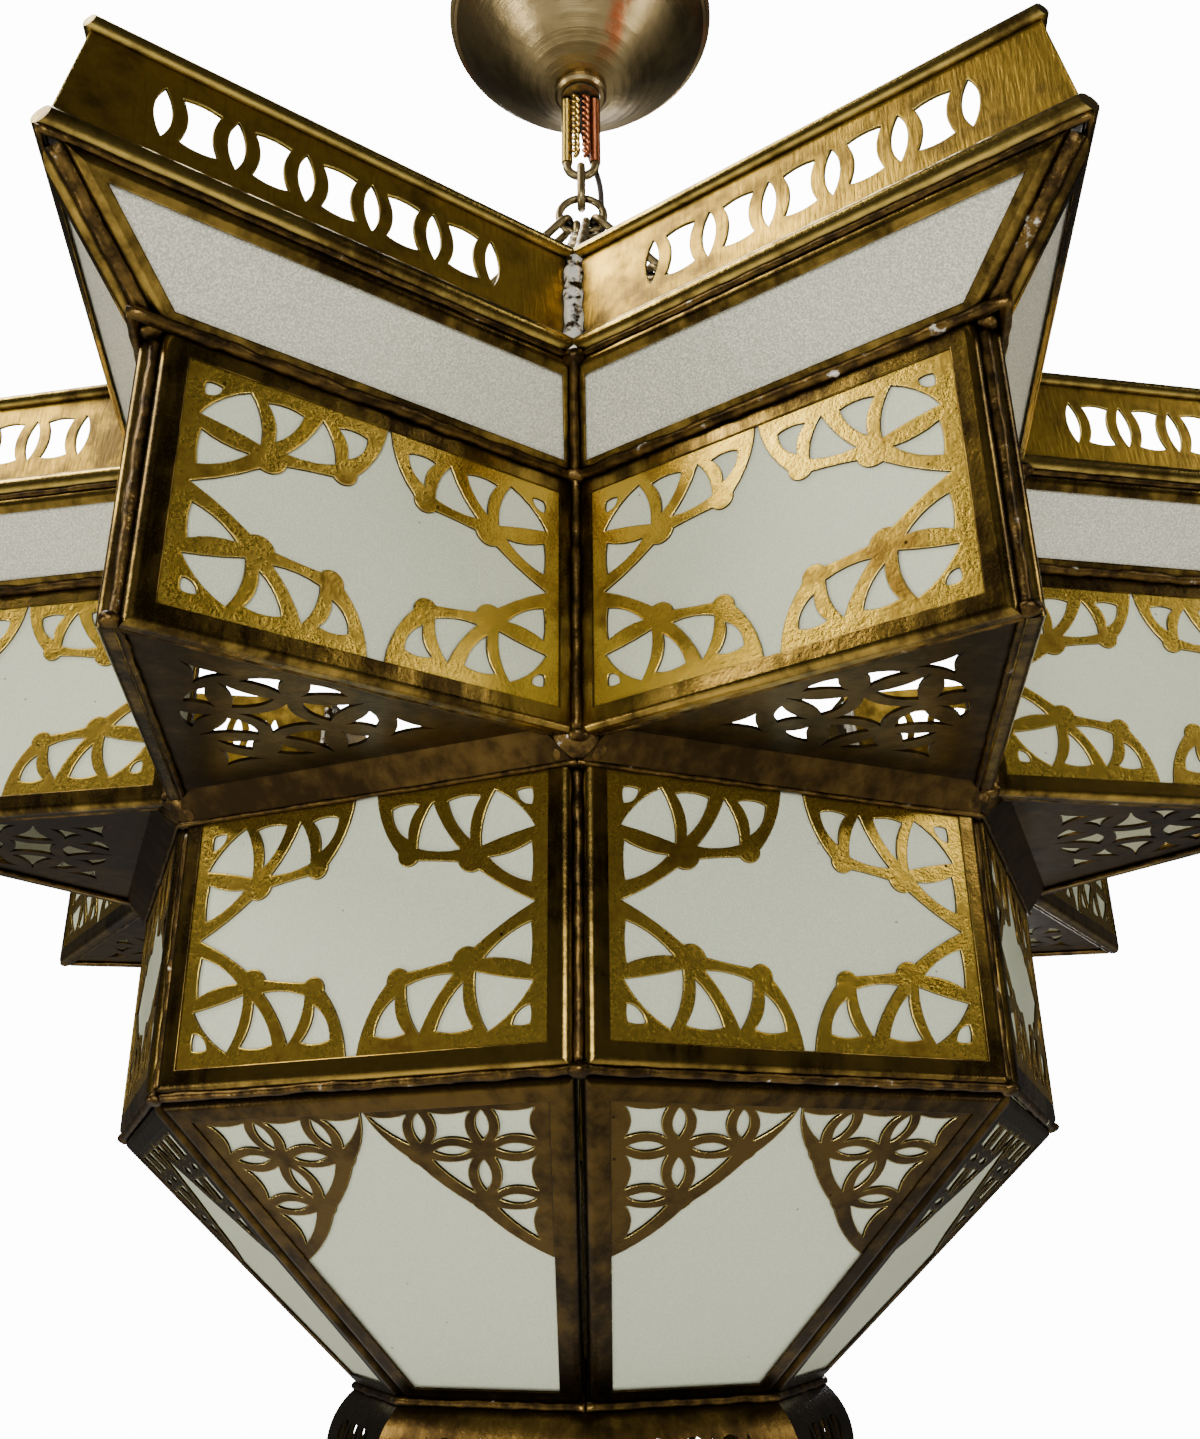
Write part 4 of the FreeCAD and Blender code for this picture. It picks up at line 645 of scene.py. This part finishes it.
def soft_lights():
    """Daylight from high on the left, weaker from the right, and soft fill from all round."""
    daylight = (1.0, 0.95, 0.82)
    pale_daylight = (1.0, 0.96, 0.88)
    light_panel("window_left", (-1.55, -0.64, 1.00), (0.8, 1.4), 44, daylight)
    light_panel("window_right", (1.75, -0.85, 0.45), (0.4, 0.8), 8, pale_daylight)
    light_panel("front_soft", (-0.1, -2.2, -0.7), (1.2, 1.0), 60)
    light_panel("low_left", (-1.9, -0.55, -1.15), (0.22, 0.5), 14, pale_daylight)
    light_panel("low_right", (1.9, -0.6, -1.15), (0.22, 0.4), 8, pale_daylight)
    light_panel("above", (-0.4, 0.6, 1.4), (1.2, 1.2), 46)
    light_panel("back", (0.2, 2.0, -0.3), (1.2, 1.0), 24)


def white_surroundings():
    """A dim warm grey room for the reflections, and plain white behind the lantern."""
    room_strength = 0.14
    white_strength = 14.0
    world = bpy.data.worlds.new("room")
    bpy.context.scene.world = world
    world.use_nodes = True
    nodes, links = world.node_tree.nodes, world.node_tree.links
    room = nodes["Background"]
    room.inputs["Color"].default_value = (0.30, 0.29, 0.27, 1)
    room.inputs["Strength"].default_value = room_strength
    white = nodes.new("ShaderNodeBackground")
    white.inputs["Color"].default_value = (1, 1, 1, 1)
    white.inputs["Strength"].default_value = white_strength
    seen = nodes.new("ShaderNodeLightPath")
    mix = nodes.new("ShaderNodeMixShader")
    links.new(seen.outputs["Is Camera Ray"], mix.inputs[0])
    links.new(room.outputs[0], mix.inputs[1])
    links.new(white.outputs[0], mix.inputs[2])
    links.new(mix.outputs[0], nodes["World Output"].inputs["Surface"])


def photo_camera():
    """Below the star and close to it, looking up, as in the photograph."""
    stand = (0.0067, -0.534, -0.660)
    pitch = math.radians(22.73)
    roll = math.radians(-0.68)
    focal_px = 1290.0              # the lens, in pixels of the photograph
    photo_height_px = 1439.0
    film_height = 36.0
    forward = Vector((0, math.cos(pitch), math.sin(pitch)))
    right = Vector((1, 0, 0))
    up = right.cross(forward)
    side = right * math.cos(roll) + up * math.sin(roll)
    top = up * math.cos(roll) - right * math.sin(roll)
    lens = bpy.data.cameras.new("photo_camera")
    lens.sensor_fit = "VERTICAL"
    lens.sensor_height = film_height
    lens.lens = film_height * focal_px / photo_height_px
    lens.clip_start = 0.01
    camera = bpy.data.objects.new("photo_camera", lens)
    bpy.context.scene.collection.objects.link(camera)
    turn = Matrix((side, top, -forward)).transposed().to_4x4()
    camera.matrix_world = Matrix.Translation(stand) @ turn
    bpy.context.scene.camera = camera


# ---------------------------------------------------------------- the lantern
def each_point(name):
    """The eight nodes of a piece that every point of the star has."""
    return ["%s_%d" % (name, k) for k in range(1, POINTS + 1)]


def dress_star():
    """Cames, fretwork, gallery, plates and their solder; the lower parts get darker copies of the brass as
    painted shade.
    """
    came = aged_brass("came_brass", rgb(166, 136, 64), rgb(54, 41, 19), 0.37, 0.19, 0.008)
    came.dress("body_frames", "flare_frames", *each_point("star_point_frame"))
    # painted shade: the base's cames are a darker copy of the came brass
    base_came = aged_brass("shaded_base_came_brass", rgb(84, 65, 30), rgb(36, 27, 13), 0.38, 0.22, 0.008)
    base_came.dress("base_frames")
    fretwork = cut_brass("fretwork_brass", rgb(208, 174, 68), rgb(122, 94, 37), 0.46, rgb(64, 46, 21))
    fretwork.dress("star_band_fretwork", "body_fretwork")
    # painted shade: the base's fretwork is a darker copy of the fretwork brass
    base_fretwork = cut_brass("shaded_base_fretwork_brass", rgb(82, 64, 30), rgb(48, 36, 18), 0.42, rgb(32, 24, 12))
    base_fretwork.dress("base_fretwork")
    gallery = brushed_brass("gallery_brass", rgb(190, 154, 54), rgb(92, 72, 29), 0.42)
    gallery.dress(*each_point("gallery_point"))
    moulding = aged_brass("moulding_brass", rgb(196, 168, 86), rgb(82, 64, 30), 0.42, 0.18, 0.007)
    moulding.dress("gallery_mouldings")
    # painted shade: the floor plates, bottom plate and finial get a darker copy of the brass
    plate = aged_brass("shaded_floor_plate_brass", rgb(88, 68, 34), rgb(44, 33, 17), 0.36, 0.30, 0.006)
    plate.dress("floor_plates", "bottom_plate", "finial")
    # painted shade: the collar plates and chain lugs get a darker copy of the brass
    collar = aged_brass("shaded_collar_brass", rgb(92, 72, 35), rgb(42, 31, 15), 0.40, 0.24, 0.007)
    collar.dress("collar_plates", "chain_lugs")
    solder_work(lead_solder("lead_solder"))


def dress_glass():
    """The flare's panes sparkle more than the panes below."""
    flare = frosted_glass("flare_frosted_glass", rgb(168, 166, 146), rgb(244, 241, 222), 0.8, 0.0004)
    flare.dress("flare_glass")
    panes = frosted_glass("frosted_glass", rgb(190, 195, 168), rgb(218, 222, 196), 0.6, 0.0003)
    panes.dress("star_band_glass", "body_glass", "base_glass")


def dress_hanging_parts():
    """Flex, binding wire, chains, hook, loop and canopy."""
    supply_flex(moulded("flex_cover", rgb(44, 34, 28), rgb(26, 20, 17), 0.55))
    loop_binding(aged_brass("binding_brass", rgb(214, 180, 92), rgb(132, 102, 48), 0.5, 0.22, 0.002),
                 aged_brass("binding_copper", rgb(178, 104, 66), rgb(96, 52, 34), 0.45, 0.28, 0.002))
    chain = aged_brass("chain_brass", rgb(160, 142, 100), rgb(112, 98, 68), 0.42, 0.36, 0.003)
    chain.dress("chain_front", "chain_right", "chain_back", "chain_left",
                "gather_ring", "hanging_hook", "hanging_loop")
    spun_brass("spun_canopy_brass").dress("canopy", "collar_ring")


def dress_inside():
    """Lamps and what carries them, and the fittings under the canopy."""
    inside = aged_brass("lamp_arm_brass", rgb(196, 166, 96), rgb(150, 122, 66), 0.5, 0.28, 0.004)
    inside.dress("cross_strap", "stem_tube", "lamp_cluster")
    zinc = plain_metal("zinc_plate", rgb(188, 188, 184), rgb(138, 138, 134), 0.34)
    zinc.dress("ceiling_bracket", "threaded_nipple", "lock_nut", "earth_screw", "stem_nuts")
    moulded("candle_tube", rgb(236, 228, 206), rgb(214, 202, 172), 0.42).dress("candle_sleeves")
    moulded("holder_black", rgb(30, 30, 30), rgb(20, 20, 20), 0.4).dress("lamp_holders")
    moulded("terminal_block", rgb(226, 222, 210), rgb(206, 202, 190), 0.4).dress("connector_block")
    opal = moulded("opal_lamp", rgb(240, 238, 230), rgb(230, 228, 220), 0.2)
    opal.dress("lamp_1", "lamp_2", "lamp_3", "lamp_4")


def main():
    photo_camera()
    dress_star()
    dress_glass()
    dress_hanging_parts()
    dress_inside()
    pale_floor()
    soft_lights()
    white_surroundings()


main()
